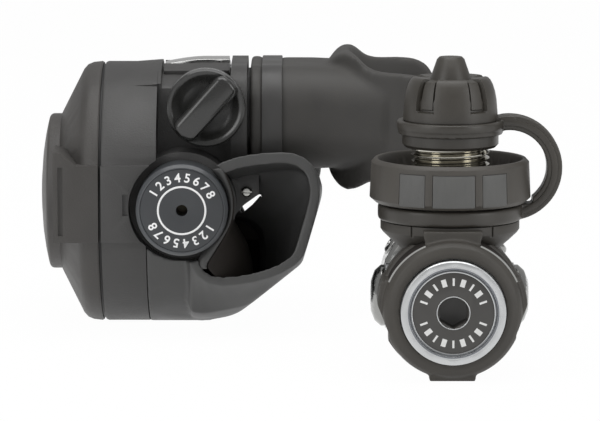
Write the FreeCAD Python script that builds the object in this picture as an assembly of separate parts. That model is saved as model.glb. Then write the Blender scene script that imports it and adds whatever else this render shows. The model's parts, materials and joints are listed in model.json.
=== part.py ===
import FreeCAD, Part
import math
import os

Vec = FreeCAD.Vector
AXIS_X, AXIS_Y, AXIS_Z = Vec(1, 0, 0), Vec(0, 1, 0), Vec(0, 0, 1)

# All sizes are in millimetres. X runs from the purge button to the mouthpiece, Y away from the
# viewer and Z up from the table. Both stages stand on the table, side by side.

# Gaps that the fits use
skin_gap = 0.3
run_gap = 0.05
seat_gap = 0.1

# Second stage: a round can on a level axis that runs along X
case_r = 40.7
case_axis_z = case_r - 0.4
case_rear_r = case_r - 0.9
case_front_x = -60.6
band_end_x = -43.3
case_back_x = -20.8
case_wall = 2.5
cavity_r = case_r - 5.5
lip_bore_r = case_r - 3.2
shoulder_x = -57.7
hood_rise = 0.6
hood_half_deg = 30.0
pad_y = case_r + 0.5
pad_low, pad_high = -10.6, 12.9
marker_slot = (-54.0, 1.7, 6.5)

# Knob side: a dish round the knob, a tower under it and a pocket for the small knob
knob_x = -35.8
dish_r = 16.4
dish_y = case_r - 7.2
tower_r = 16.3
pocket_x = -43.9
pocket_y = case_r - 20.7
pocket_low, pocket_high = -2.0, 35.9

# Mouthpiece port, a rounded oblong tube centred above the case axis
port_z = 24.7
port_half_w, port_half_h = 22.4, 12.7
port_wall = 2.3
port_end_x = -6.5
flange_half_w, flange_half_h = 26.9, 17.6
flange_end_x = -16.3

# Front cover and purge button
cover_front_x = -74.3
cover_cone_x = -67.2
cover_cone_r = case_r - 1.7
cover_gap_x = 0.8
cover_wall = 2.3
cover_skirt_r = lip_bore_r - 0.2
cover_skirt_in_r = cover_skirt_r - 2.7
skirt_end_x = -58.9
wing_front_x = -75.1
wing_flare = 4.4
wing_slot = (-73.6, 1.5, -8.5, 12.5, 0.8)
grille_x = -66.5
grille_t = 2.0
grille_slots = 8
purge_hole_r = 24.6
purge_front_x = -80.8
purge_dome = 2.8
purge_travel = 3.0
purge_wall = 1.9
purge_lip_r = 26.0
purge_stem_r = 3.5
purge_spring_r, purge_spring_wire = 10.0, 1.2

# Diaphragm and demand lever
skin_t = 0.6
disc_r = 14.0
disc_t = 1.0
lever_t = 1.2
lever_pivot_y = 10.0
lever_tip_y = -8.0
lever_bridge_x = -46.0
lever_pin_r = 1.5
poppet_lift = 1.0

# Valve barrel through the case, along Y
barrel_r, barrel_bore = 8.0, 6.2
barrel_far_y = dish_y - 0.3
window_len = 9.0
screw_end_y = -21.0
poppet_stem_r = 2.2
poppet_head_r = 5.6
poppet_head_y = 13.0
seat_t = 2.0
orifice_bore = 2.2
orifice_end_y = barrel_far_y - 5.5
inlet_thread_r = 7.14
inlet_thread_len = 9.0
inlet_bore = 3.6
fin_r, fin_root_r = 13.0, 8.6
fin_t, fin_gap, fin_count = 1.4, 1.4, 3
inlet_shoulder_r = 9.4
inlet_shoulder_t = 1.6

# Adjusting knob on the near end of the barrel
knob_r = 14.0
knob_face_y = -case_r - 5.3
knob_chamfer = 1.2
knob_dial_r = 12.7
knob_dial_depth = 0.5
knob_hole_r = 1.75
knob_hub_r = 3.0

# Small knob over the pocket, with its vane in the air path
vane_x, vane_z = -28.7, 29.8
small_knob_r = 12.2
small_knob_back_y = 12.5 - case_r
small_knob_face_y = small_knob_back_y - 6.0
small_knob_bar = 3.0
small_knob_bar_w = 6.2
small_knob_lean = 48.0
small_knob_lobes = 10
boss_r = 9.0
vane_stem_r = 2.5
vane_reach = 8.0
vane_half_w = 6.0

# Exhaust tee: closed outlines as (x, height over the case axis), at each outlet, at the bulge beside the
# mouthpiece's flange and in the middle, where the tee is a flat box behind the exhaust valve
tee_end_y = case_r + 0.3
tee_bulge_y = case_r - 12.7
tee_wall = 3.2
tee_start_x = -46.9
tee_skin_r = case_r - 2.8
tee_skin_top = -8.0
outlet_outline = ((-27.0, 12.4), (-19.7, 15.7), (-9.1, 17.2), (-2.0, 17.0), (3.6, 13.6), (6.0, 7.0), (5.6, -1.5),
                  (3.4, -11.0), (-1.6, -17.4), (-10.0, -21.4), (-20.0, -23.4), (-28.5, -22.6),
                  (-33.5, -17.0),
                  (-34.5, -4.0), (-32.0, 7.0))
bulge_outline = ((-27.0, 8.0), (-19.7, 11.0), (-9.1, 13.0), (-2.0, 13.5), (4.2, 11.0), (6.9, 5.0), (7.0, -2.0),
                 (5.6, -12.0), (3.0, -20.2), (-3.2, -27.3), (-14.0, -31.5), (-26.0, -34.0), (-33.5, -34.0),
                 (-34.5, -18.0), (-32.0, -2.0))
middle_outline = ((-27.0, -6.0), (-22.0, -6.0), (-17.0, -7.0), (-13.0, -9.5), (-10.6, -13.0), (-9.8, -17.0),
                  (-9.6, -22.0), (-9.8, -27.0), (-10.6, -31.5), (-13.0, -35.0), (-19.3, -38.4),
                  (-28.5, -40.6),
                  (-33.5, -40.5), (-34.5, -24.0), (-32.0, -10.0))
tee_stations = (0.0, 0.3, 0.55, 0.75, 0.9, 1.0)
slit_outline = ((-19.6, -2.5), (-17.6, 0.8), (-12.0, 4.9), (-11.0, 3.9), (-17.3, -1.3))
slit_drop = 11.3
exhaust_z = -22.5
exhaust_hole_r = 9.5
exhaust_flap_r = 11.5
exhaust_flap_t = 1.0
exhaust_hub_r = 3.2
exhaust_stem_r = 1.6
lug_x, lug_z, lug_y = -16.4, 3.2, tee_bulge_y - 4.0
lug_t = 3.0
lug_outline = ((case_back_x - 0.5, -6.0), (-17.9, -1.3), (-12.6, 2.6), (-12.6, 8.5), (case_back_x - 0.5, 8.5))
tee_screw_head_r, tee_screw_head_t = 1.6, 1.3
tee_screw_r, tee_screw_len = 1.1, 5.5
lock_screw_x = -53.9
lock_screw_head_r, lock_screw_len = 2.2, 4.2

# Mouthpiece and its clamp band
sleeve_start_x = -15.4
bead_end_x = -12.1
band_start_x, band_end_x2 = -11.8, -5.5
band_half_w, band_half_h, band_t = 26.2, 16.5, 1.2
bead_grow = 1.0
neck_x = 4.5
neck_half_w, neck_half_h = 24.6, 16.0
mouth_bore_w, mouth_bore_h = 19.6, 9.8
shield_outline = ((8.4, 40.6), (11.0, 43.4), (14.4, 44.9), (17.2, 43.9), (20.5, 41.1), (26.6, 39.6), (34.4, 39.3),
                  (39.4, 37.7), (43.6, 31.0), (43.6, 19.0), (38.5, 10.4), (30.0, 6.9), (21.5, 5.6),
                  (17.6, 3.3),
                  (14.0, 2.4), (10.8, 4.4), (8.4, 8.0))
shield_half_w = 29.0
shield_near_x, shield_wing_x = 9.0, 34.0
shield_t = 6.5
bite_tab_y, bite_tab_t = 17.5, 4.6
bite_tab_half_h = 7.5
bite_tab_end_x = 41.0

# Bare plate on top of the case
plate_half_deg = 17.0
plate_t = 0.5

# First stage: its body lies along Y, its inlet stands up on Z
din_x, din_y = 43.8, -85.0
body_r = 17.3
stage_z = body_r + 3.2
stage_front_y = -116.0
rim_r, rim_bore = body_r - 2.25, body_r - 4.45
body_back_y = -64.4
body_ring_r = body_r + 2.4
body_ring_y, body_ring_t = -103.4, 2.2
high_chamber_r = 8.4
high_chamber_end_y = -85.0
low_chamber_r = body_r - 2.7
low_chamber_y = -79.0
plug_face_r = rim_bore - 1.1
plug_recess = 0.7
plug_len = 9.4
hex_flats = 8.0
hex_depth = 6.0
hex_chamfer_r = 4.6
carrier_len = 6.0
seat_disc_r, seat_disc_t = 4.0, 1.5
side_port_y = -83.0
side_boss_r, side_boss_x = 9.6, body_r + 1.5
side_plug_r, side_plug_top = 9.0, body_r + 5.8
side_plug_thread_r, side_plug_thread_len = 5.5, 4.5

# Piston
piston_stem_r = 4.0
piston_head_t = 3.6
piston_travel = 0.8
piston_bore = 2.2
bushing_r, bushing_len = 7.0, 3.2
stem_ring_wire = 1.0
main_spring_r, main_spring_wire = low_chamber_r - 2.6, 2.6

# Rubber boot round the front of the body
boot_r = body_r + 2.8
boot_front_y = -113.6
boot_face_r = body_r + 0.7
boot_face_bore = rim_r + 0.2
boot_band_r = body_r + 3.8
boot_band_end_y = side_port_y - side_boss_r - skin_gap
boot_foot_w, boot_foot_end_y = 13.4, -66.0
boot_flank_r = body_r + 4.3
boot_flank_low, boot_flank_high = -8.6, 8.4
boot_tab_top_w, boot_tab_low_w = 17.3, 13.4

# Turret on the back of the body
turret_r = body_ring_r - 0.1
turret_len = 21.0
turret_bore = 7.0
bolt_flange_r, bolt_flange_t = low_chamber_r + 0.5, 2.0
turret_bolt_head_r, turret_bolt_head_t = 10.0, 3.4
lp_port_y = -52.5
lp_plug_r, lp_plug_top = 4.6, turret_r + 0.7
lp_plug_thread_r, lp_plug_thread_len = 3.6, 4.0
lp_plug_degrees = (37.5, 142.5, 217.5, 322.5)

# Saddle collar, inlet connector and handwheel, up the Z axis
neck_r = 13.0
neck_top_z = stage_z + body_r + 0.4
collar_low_z, collar_low_r = neck_top_z - 3.2, 13.6
collar_bulge_z, collar_r = neck_top_z + 2.7, 20.3
collar_top_z = neck_top_z + 5.2
collar_wall = 2.4
din_thread_r = 11.455
din_low_z, din_top_z = neck_top_z + 5.8, neck_top_z + 40.8
retainer_r = 6.5
retainer_top_z = din_top_z - 2.0
retainer_hex_r = 9.6
retainer_hex_t = 5.4
retainer_bore = 2.8
filter_r, filter_len = 4.6, 9.0
face_ring_r, face_ring_wire = 8.6, 1.9
wheel_low_z, wheel_top_z = neck_top_z + 10.6, neck_top_z + 23.2
wheel_r, wheel_top_r = 23.5, 23.0
wheel_recess_r, wheel_recess_z = 20.8, wheel_low_z + 6.4
wheel_under_r, wheel_under_depth = 19.0, 3.0
inlay_low_z, inlay_high_z = wheel_low_z + 0.8, wheel_low_z + 10.1
inlay_depth = 0.8
inlay_spans = ((-41.0, -20.4), (-14.6, 15.8), (21.6, 42.2))
inlay_groups = 2

# Dust cap and its strap
cap_low_z = wheel_top_z + 3.4
cap_bore = 12.1
cap_bore_top_z = din_top_z + 0.5
cap_low_r = 14.05
cap_groove_r = 13.3
strap_ring_low_z, strap_ring_high_z, strap_ring_r = cap_low_z + 3.8, cap_low_z + 7.8, 15.65
cap_dome_low_r, cap_dome_top_r = 13.75, 10.9
cap_dome_top_z = cap_low_z + 20.4
cap_cone_low_r, cap_cone_top_r, cap_top_z = 6.0, 3.9, cap_dome_top_z + 5.8
cap_panels = 8
cap_panel_depth = 0.9
cap_rib_w = 1.7
cap_travel = 20.0
loop_x, loop_z = 17.1, wheel_low_z + 9.95
loop_out_r, loop_in_r = 15.45, 11.05
loop_w = 6.8
loop_groove_w, loop_groove_depth = 2.2, 0.7
tether_ring_r, tether_ring_bore = 21.1, 14.2
tether_low_z, tether_high_z = neck_top_z + 5.4, neck_top_z + 10.0


def outline_edges(points):
    """Edges through the points; an entry of two points is an arc through the first to the second."""
    edges, here = [], points[0]
    for step in list(points[1:]) + [points[0]]:
        if isinstance(step, tuple):
            edges.append(Part.Arc(here, step[0], step[1]).toShape())
            here = step[1]
        else:
            edges.append(Part.LineSegment(here, step).toShape())
            here = step
    return edges


def upright(solid):
    if solid.Volume < 0:
        solid.reverse()
    return solid


def placed(solid, base, along):
    """Turns a piece that was drawn on the Z axis so that it lies along another axis from base."""
    solid.Placement = FreeCAD.Placement(base, FreeCAD.Rotation(AXIS_Z, along)).multiply(solid.Placement)
    return solid


def turned(profile, base=Vec(0, 0, 0), along=AXIS_Z, sweep=360.0):
    """A lathe piece from (radius, station) pairs; four numbers are an arc: through point, end point."""
    points = []
    for row in profile:
        if len(row) == 4:
            points.append((Vec(row[0], 0, row[1]), Vec(row[2], 0, row[3])))
        else:
            points.append(Vec(row[0], 0, row[1]))
    face = Part.Face(Part.Wire(outline_edges(points)))
    return placed(upright(face.revolve(Vec(0, 0, 0), AXIS_Z, sweep)), base, along)


def tube(outer, inner, start, end, base=Vec(0, 0, 0), along=AXIS_Z):
    return turned([(inner, start), (outer, start), (outer, end), (inner, end)], base, along)


def rod(radius, start, end, base=Vec(0, 0, 0), along=AXIS_Z):
    return placed(Part.makeCylinder(radius, end - start, Vec(0, 0, start)), base, along)


def block(x0, x1, y0, y1, z0, z1):
    return Part.makeBox(x1 - x0, y1 - y0, z1 - z0, Vec(x0, y0, z0))


def single(shape):
    return shape.Solids[0] if len(shape.Solids) == 1 else shape


def one(*shapes):
    return single(shapes[0].fuse(list(shapes[1:])).removeSplitter())


def less(shape, *tools):
    return single(shape.cut(list(tools)))


def rounded(points, radius):
    """A closed wire through the corners, each corner rounded to the radius."""
    edges, count = [], len(points)
    ends = []
    for i, corner in enumerate(points):
        back, ahead = points[i - 1] - corner, points[(i + 1) % count] - corner
        back.normalize()
        ahead.normalize()
        half = back.getAngle(ahead) / 2
        reach = radius / math.tan(half)
        middle = back + ahead
        middle.normalize()
        inner = corner + middle * (radius / math.sin(half) - radius)
        ends.append((corner + back * reach, inner, corner + ahead * reach))
    for i, (first, middle, last) in enumerate(ends):
        edges.append(Part.Arc(first, middle, last).toShape())
        following = ends[(i + 1) % count][0]
        if (following - last).Length > 1e-6:
            edges.append(Part.LineSegment(last, following).toShape())
    return Part.Wire(edges)


def oblong_wire(x, half_w, half_h, centre_z=port_z, share=0.72):
    """A rounded oblong across the X axis, such as the mouthpiece port's section."""
    z = case_axis_z + centre_z
    corners = [Vec(x, -half_w, z - half_h), Vec(x, half_w, z - half_h), Vec(x, half_w, z + half_h),
               Vec(x, -half_w, z + half_h)]
    return rounded(corners, share * min(half_w, half_h))


def oblong(x0, x1, half_w, half_h):
    face = Part.Face(oblong_wire(x0, half_w, half_h))
    return upright(face.extrude(Vec(x1 - x0, 0, 0)))


def slab_y(outline, y0, y1, base_z=0.0, radius=0.0):
    """An outline of (x, z) pairs, pushed along Y."""
    points = [Vec(x, y0, base_z + z) for x, z in outline]
    wire = rounded(points, radius) if radius else Part.makePolygon(points + [points[0]])
    return upright(Part.Face(wire).extrude(Vec(0, y1 - y0, 0)))


def mirrored_y(shape):
    return shape.mirror(Vec(0, 0, 0), AXIS_Y)


def on_case(profile, sweep=360.0):
    """A lathe piece on the case axis, with its stations as X."""
    return turned(profile, Vec(0, 0, case_axis_z), AXIS_X, sweep)


def on_barrel(profile):
    """A lathe piece on the valve barrel's axis, with its stations as Y."""
    return turned(profile, Vec(knob_x, 0, case_axis_z), AXIS_Y)


def on_stage(profile):
    """A lathe piece on the first stage's axis, with its stations as Y."""
    return turned(profile, Vec(din_x, 0, stage_z), AXIS_Y)


def on_inlet(profile):
    """A lathe piece on the inlet's upright axis, with its stations as Z."""
    return turned(profile, Vec(din_x, din_y, 0), AXIS_Z)


def barrel_rod(radius, y0, y1, x=knob_x, z=0.0):
    return rod(radius, y0, y1, Vec(x, 0, case_axis_z + z), AXIS_Y)


def case_hood():
    """The band's low raised lip over the top of the pocket."""
    wedge = [Vec(case_r - 0.4, 0, band_end_x - 13), Vec(case_r + hood_rise, 0, band_end_x + 0.4),
             Vec(case_r - 2, 0, band_end_x + 0.4), Vec(case_r - 2, 0, band_end_x - 13)]
    face = Part.Face(Part.Wire(outline_edges(wedge)))
    face.rotate(Vec(0, 0, 0), AXIS_Z, 180 - hood_half_deg)
    return placed(upright(face.revolve(Vec(0, 0, 0), AXIS_Z, 2 * hood_half_deg)), Vec(0, 0, case_axis_z),
                  AXIS_X)


def case_outside():
    """The case with its dishes, pocket, tower and port, still solid inside."""
    can = on_case([(0, case_front_x), (case_r - 0.3, case_front_x), (case_r, case_front_x + 0.7),
                   (case_r, band_end_x), (case_rear_r, band_end_x + 0.8), (case_rear_r, case_back_x - 2.2),
                   (case_rear_r - 2.2, case_back_x), (0, case_back_x)])
    pad = block(case_front_x, knob_x - dish_r / 2, -pad_y, pad_y, case_axis_z + pad_low,
                case_axis_z + pad_high)
    floor_cut = block(-100, 100, -100, 100, -50, 0)
    below_skin = less(on_case([(tee_skin_r, tee_start_x - seat_gap), (60, tee_start_x - seat_gap),
                               (60, case_back_x + 1), (tee_skin_r, case_back_x + 1)]),
                      block(-100, 100, -100, 100, case_axis_z + tee_skin_top, 200))
    pocket = slab_y(((pocket_x, pocket_low), (case_back_x + 2, pocket_low), (case_back_x + 2, pocket_high),
                     (pocket_x, pocket_high)), -60, -pocket_y, case_axis_z)
    facet = slab_y(((pocket_x, 20), (pocket_x, 45), (pocket_x - 6.5, 45), (pocket_x - 6.5, 38.4)), -60,
                   -13.0, case_axis_z)
    shell = less(one(can, case_hood(), pad), below_skin, pocket, facet, floor_cut)
    shell = one(shell, barrel_rod(tower_r, -dish_y, -pocket_y + 3), oblong(case_back_x - 0.5, flange_end_x,
                flange_half_w, flange_half_h), oblong(case_back_x - 0.5, port_end_x, port_half_w,
                                                      port_half_h),
                barrel_rod(boss_r, small_knob_back_y + skin_gap, -pocket_y + 3, vane_x, vane_z))
    dishes = [barrel_rod(dish_r, -60, -dish_y), barrel_rod(dish_r, dish_y, 60)]
    return less(shell, *dishes)


def case_cavity():
    """The hollow of the case, which leaves a wall behind the pocket, the dishes and the tower."""
    room = on_case([(0, shoulder_x), (cavity_r, shoulder_x), (cavity_r, case_back_x - case_wall),
                    (0, case_back_x - case_wall)])
    behind_pocket = block(pocket_x - case_wall, 0, -60, -pocket_y + case_wall,
                          case_axis_z - dish_r - case_wall, 100)
    guards = [barrel_rod(dish_r + case_wall, -60, -dish_y + case_wall),
              barrel_rod(dish_r + case_wall, dish_y - case_wall, 60)]
    return less(room, behind_pocket, *guards)


def outlet_funnel(side):
    """The outlet's mouth, which the case's flank makes room for."""
    inner = tee_section(outlet_outline, -tee_wall)
    funnel = slab_y(inner, -tee_end_y - 5, -tee_end_y + 5.5, case_axis_z, 1.5)
    funnel = less(funnel, barrel_rod(tower_r + 0.2, -60, 60))
    return funnel if side < 0 else mirrored_y(funnel)


def second_stage_case():
    shell = less(case_outside(), case_cavity(), outlet_funnel(-1), outlet_funnel(1))
    mouth = oblong(case_back_x - case_wall - 1, port_end_x + 1, port_half_w - port_wall,
                   port_half_h - port_wall)
    lip = on_case([(0, case_front_x - 1), (lip_bore_r, case_front_x - 1), (lip_bore_r, shoulder_x),
                   (0, shoulder_x)])
    hole = rod(exhaust_hole_r, case_back_x - 4, case_back_x + 1, Vec(0, 0, case_axis_z + exhaust_z), AXIS_X)
    tower_room = less(barrel_rod(tower_r - case_wall, -dish_y + case_wall, -pocket_y + case_wall + 1),
                      barrel_rod(barrel_r + case_wall, -60, 60))
    slot_x, slot_w, slot_h = marker_slot
    marker = block(slot_x, slot_x + slot_w, -60, -pad_y + 0.9, case_axis_z - 2.3,
                   case_axis_z - 2.3 + slot_h)
    shell = less(shell, mouth, lip, hole, tower_room, marker,
                 barrel_rod(barrel_r + seat_gap / 2, -60, 60), barrel_rod(vane_stem_r + run_gap, -60, 0,
                                                                          vane_x, vane_z),
                 rod(lock_screw_head_r + seat_gap, -1, lock_screw_len + 1, Vec(lock_screw_x, 0, 0)))
    spokes = [rod(exhaust_hub_r, case_back_x - case_wall, case_back_x, Vec(0, 0, case_axis_z + exhaust_z),
                  AXIS_X)]
    for n in range(3):
        arm = block(case_back_x - case_wall, case_back_x, -1.3, 1.3, 0, exhaust_hole_r + 0.5)
        arm.rotate(Vec(0, 0, 0), AXIS_X, 120 * n)
        arm.translate(Vec(0, 0, case_axis_z + exhaust_z))
        spokes.append(arm)
    lugs = []
    for side in (-1, 1):
        lugs.append(tee_lug(side, 0.0))
    holes = [rod(exhaust_stem_r + seat_gap, case_back_x - 6, case_back_x + 2,
                 Vec(0, 0, case_axis_z + exhaust_z), AXIS_X),
             barrel_rod(tee_screw_r + seat_gap / 2, -60, 60, lug_x, lug_z)]
    return less(one(shell, *spokes, *lugs), *holes)


def tee_lug(side, grow):
    """The bracket below the mouthpiece's flange that the tee is screwed to."""
    outline = tee_section(lug_outline, -grow)
    lug = slab_y(outline, lug_y - grow, lug_y + lug_t + grow, case_axis_z)
    return lug if side > 0 else mirrored_y(lug)


def tee_section(outline, grow):
    """The outline moved outwards by grow along the bisector at each point."""
    moved, count = [], len(outline)
    for i, (x, z) in enumerate(outline):
        ax, az = outline[i - 1]
        bx, bz = outline[(i + 1) % count]
        tx, tz = bx - ax, bz - az
        size = math.hypot(tx, tz)
        moved.append((x - tz / size * grow, z + tx / size * grow))
    return moved


def tee_ring(outline, grow):
    """The outline as a closed curve, read at each of its points and once between each two."""
    points = [Vec(x, 0, case_axis_z + z) for x, z in tee_section(outline, grow)]
    curve = Part.BSplineCurve()
    curve.interpolate(points, PeriodicFlag=True)
    knots = curve.getKnots()
    ring = []
    for low, high in zip(knots, knots[1:]):
        ring += [curve.value(low), curve.value((low + high) / 2)]
    return ring


def between(ring, other, share, across):
    return [Vec(a.x + (b.x - a.x) * share, across, a.z + (b.z - a.z) * share) for a, b in zip(ring, other)]


def tee_loft(grow, end_gap):
    """The tee's outside, or with a negative grow its duct, lofted across the case from end to end."""
    middle, bulge, outlet = (tee_ring(rows, grow) for rows in (middle_outline, bulge_outline,
                                                               outlet_outline))
    half = []
    for share in tee_stations:
        half.append(between(middle, bulge, share ** 1.8, share * tee_bulge_y))
    for share in tee_stations[2:]:
        half.append(between(bulge, outlet, share,
                            tee_bulge_y + share * (tee_end_y + end_gap - tee_bulge_y)))
    rings = [[Vec(p.x, -p.y, p.z) for p in ring] for ring in reversed(half[1:])] + half
    wires = [Part.makePolygon(ring + [ring[0]]) for ring in rings]
    return upright(Part.makeLoft(wires, True, True))


def tee_slit():
    """The narrow straight gap past the brackets, through which one outlet can be seen from the other."""
    points = [Vec(x, 3 - tee_end_y, case_axis_z + z) for x, z in slit_outline]
    way = Part.Face(Part.makePolygon(points + [points[0]]))
    return upright(way.extrude(Vec(-1.0, 2 * (tee_end_y - 3), -slit_drop)))


def exhaust_tee():
    skin = less(on_case([(tee_skin_r, tee_start_x), (case_r + 0.1, tee_start_x), (case_r + 0.1, -28.0),
                         (tee_skin_r, -28.0)]), block(-100, 100, -100, 100, case_axis_z + tee_skin_top,
                                                      200))
    duct = tee_loft(-tee_wall, 1.0)
    keep_clear = [oblong(case_back_x - 2, 20, flange_half_w + skin_gap, flange_half_h + skin_gap),
                  barrel_rod(dish_r + 0.2, -60, -dish_y + skin_gap),
                  barrel_rod(dish_r + 0.2, dish_y - skin_gap, 60),
                  block(-100, 100, -100, 100, -50, 0), tee_lug(-1, skin_gap), tee_lug(1, skin_gap),
                  barrel_rod(tee_screw_r + seat_gap / 2, -60, 60, lug_x, lug_z), tee_slit()]
    tee = less(one(tee_loft(0.0, 0.0), skin), duct, case_outside(), *keep_clear)
    return biggest(tee)


def biggest(shape):
    return max(shape.Solids, key=lambda solid: solid.Volume)


def tee_screws():
    screws = []
    for side in (-1, 1):
        screw = on_axis_screw(tee_screw_head_r, tee_screw_head_t, tee_screw_r, tee_screw_len)
        screw = placed(screw, Vec(lug_x, side * (lug_y + lug_t), case_axis_z + lug_z), Vec(0, side, 0))
        screws.append(screw)
    return Part.makeCompound(screws)


def on_axis_screw(head_r, head_t, shank_r, shank_len):
    head = turned([(0, 0), (head_r, 0), (head_r, head_t * 0.6), (head_r * 0.7, head_t), (0, head_t)])
    slot = block(-head_r, head_r, -0.25, 0.25, head_t * 0.55, head_t + 1)
    return less(one(head, rod(shank_r, -shank_len, 0.1)), slot)


def exhaust_valve():
    base = Vec(0, 0, case_axis_z + exhaust_z)
    flap = [(0, case_back_x - case_wall - 2.2), (exhaust_stem_r + 0.9, case_back_x - case_wall - 1.4),
            (exhaust_stem_r + 0.9, case_back_x - case_wall), (exhaust_stem_r, case_back_x - case_wall),
            (exhaust_stem_r, case_back_x), (exhaust_flap_r, case_back_x),
            (exhaust_flap_r, case_back_x + 0.5),
            (4.0, case_back_x + exhaust_flap_t), (0, case_back_x + exhaust_flap_t)]
    return turned(flap, base, AXIS_X)


def top_plate():
    strip = [Vec(case_rear_r, 0, band_end_x + 1.2), Vec(case_rear_r + plate_t, 0, band_end_x + 1.2),
             Vec(case_rear_r + plate_t, 0, case_back_x - 1.0), Vec(case_rear_r, 0, case_back_x - 1.0)]
    face = Part.Face(Part.Wire(outline_edges(strip)))
    face.rotate(Vec(0, 0, 0), AXIS_Z, 180 - plate_half_deg)
    plate = placed(upright(face.revolve(Vec(0, 0, 0), AXIS_Z, 2 * plate_half_deg)), Vec(0, 0, case_axis_z),
                   AXIS_X)
    return less(plate, oblong(case_back_x - 1.0, 0, flange_half_w + seat_gap, flange_half_h + seat_gap))


def cover_lock_screw():
    screw = on_axis_screw(lock_screw_head_r, 1.2, 1.4, lock_screw_len - 1.2)
    return placed(screw, Vec(lock_screw_x, 0, case_axis_z - case_r + 1.4 + 0.2), Vec(0, 0, -1))


def cover_outside():
    cone_slope = (cover_cone_r - purge_hole_r) / (cover_cone_x - cover_front_x)
    ring = on_case([(0, cover_front_x), (purge_hole_r + 0.4, cover_front_x),
                    (cover_cone_r - 0.6, cover_cone_x - 0.6 / cone_slope),
                    (cover_cone_r + 0.7, cover_cone_x + 0.9),
                    (case_r - 0.3, cover_cone_x + 2.6), (case_r, case_front_x - cover_gap_x - 0.5),
                    (case_r - 0.3, case_front_x - cover_gap_x), (0, case_front_x - cover_gap_x)])
    flare = ((wing_front_x, pad_low), (case_front_x - cover_gap_x, pad_low),
             (case_front_x - cover_gap_x, pad_high),
             (wing_front_x + 7.0, pad_high), (wing_front_x + 2.6, pad_high + wing_flare * 0.85),
             (wing_front_x, pad_high + wing_flare))
    wings = [slab_y(flare, -pad_y, -purge_hole_r, case_axis_z), slab_y(flare, purge_hole_r, pad_y,
                                                                       case_axis_z)]
    skirt = on_case([(0, case_front_x - cover_gap_x), (cover_skirt_r, case_front_x - cover_gap_x),
                     (cover_skirt_r, skirt_end_x), (0, skirt_end_x)])
    return one(ring, skirt, *wings)


def front_cover():
    inside = on_case([(0, cover_front_x + cover_wall + 0.2), (purge_lip_r + 0.6,
                                                              cover_front_x + cover_wall + 0.2),
                      (cover_skirt_in_r, cover_cone_x + cover_wall), (cover_skirt_in_r, 0), (0, 0)])
    hole = on_case([(0, -100), (purge_hole_r, -100), (purge_hole_r, -60), (0, -60)])
    slots = []
    for side in (-1, 1):
        x, w, low, high, depth = wing_slot
        cut = block(x, x + w, pad_y - depth, pad_y + 5, case_axis_z + low, case_axis_z + high)
        slots.append(cut if side > 0 else mirrored_y(cut))
    shell = less(cover_outside(), inside, hole, *slots)
    web = on_case([(purge_stem_r + run_gap + 0.3, grille_x), (cover_skirt_in_r + 0.5, grille_x),
                   (cover_skirt_in_r + 0.5, grille_x + grille_t),
                   (purge_stem_r + run_gap + 0.3, grille_x + grille_t)])
    windows = []
    for n in range(grille_slots):
        window = slab_x_sector(purge_spring_r + 3.0, cover_skirt_in_r - 3.0, 360 / grille_slots * 0.62)
        window.rotate(Vec(0, 0, 0), AXIS_X, 360 / grille_slots * n)
        window.translate(Vec(0, 0, case_axis_z))
        windows.append(window)
    return one(shell, less(web, *windows))


def slab_x_sector(inner, outer, degrees):
    """A ring segment across X, centred on +Z, at the cover's grille."""
    half = math.radians(degrees / 2)

    def at(radius, angle):
        return Vec(grille_x - 1, radius * math.sin(angle), radius * math.cos(angle))

    edges = outline_edges([at(inner, -half), (at(inner, 0), at(inner, half)), at(outer, half),
                           (at(outer, 0), at(outer, -half))])
    return upright(Part.Face(Part.Wire(edges)).extrude(Vec(grille_t + 2, 0, 0)))


def cover_seal():
    start = case_front_x - cover_gap_x
    return on_case([(lip_bore_r + 0.1, start), (case_r - 0.9, start), (case_r - 0.9, case_front_x),
                    (lip_bore_r + 0.1, case_front_x)])


def purge_button():
    edge_x = purge_front_x + purge_dome
    outer = purge_hole_r - skin_gap
    lip_x = cover_front_x + cover_wall + 0.2 + skin_gap
    inner_x = edge_x + 1.0
    tip_x = skin_front_x() - skin_gap
    rings = (0.35, 0.6, 0.8, 0.93, 1.0)
    dome = [((outer - 0.5) * share, purge_front_x + (purge_dome - 0.2) * share ** 2.4) for share in rings]
    return on_case([(0, purge_front_x)] + dome + [
        (outer, edge_x + 0.6), (outer, lip_x), (purge_lip_r, lip_x), (purge_lip_r, lip_x + 1.2),
        (outer - purge_wall, lip_x + 1.2), (outer - purge_wall, inner_x), (purge_stem_r, inner_x),
        (purge_stem_r, tip_x), (0, tip_x)])


def purge_spring():
    start = purge_front_x + purge_dome + 1.0
    return on_case([(purge_spring_r - purge_spring_wire, start), (purge_spring_r, start),
                    (purge_spring_r, grille_x), (purge_spring_r - purge_spring_wire, grille_x)])


def skin_front_x():
    return skirt_end_x + skin_t / 2


def diaphragm():
    front = skin_front_x()
    rim = cover_skirt_r - 0.1
    fold = [(rim - 16.6, 0.0), (rim - 13.2, 2.2), (rim - 10.2, 3.0), (rim - 7.2, 2.2)]
    near = [(radius, front + rise) for radius, rise in fold]
    far = [(radius - 0.3, front + rise + skin_t + 0.1) for radius, rise in reversed(fold)]
    return on_case([(0, front)] + near + [(rim - 4.7, skirt_end_x), (rim, skirt_end_x), (rim, shoulder_x),
                                          (rim - 5.2, shoulder_x)] + far + [(0, front + skin_t + 0.1)])


def diaphragm_disc():
    front = skin_front_x() + skin_t + 0.15
    return on_case([(0, front), (disc_r, front), (disc_r, front + disc_t - 0.3),
                    (disc_r - 0.6, front + disc_t),
                    (0, front + disc_t)])


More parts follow.
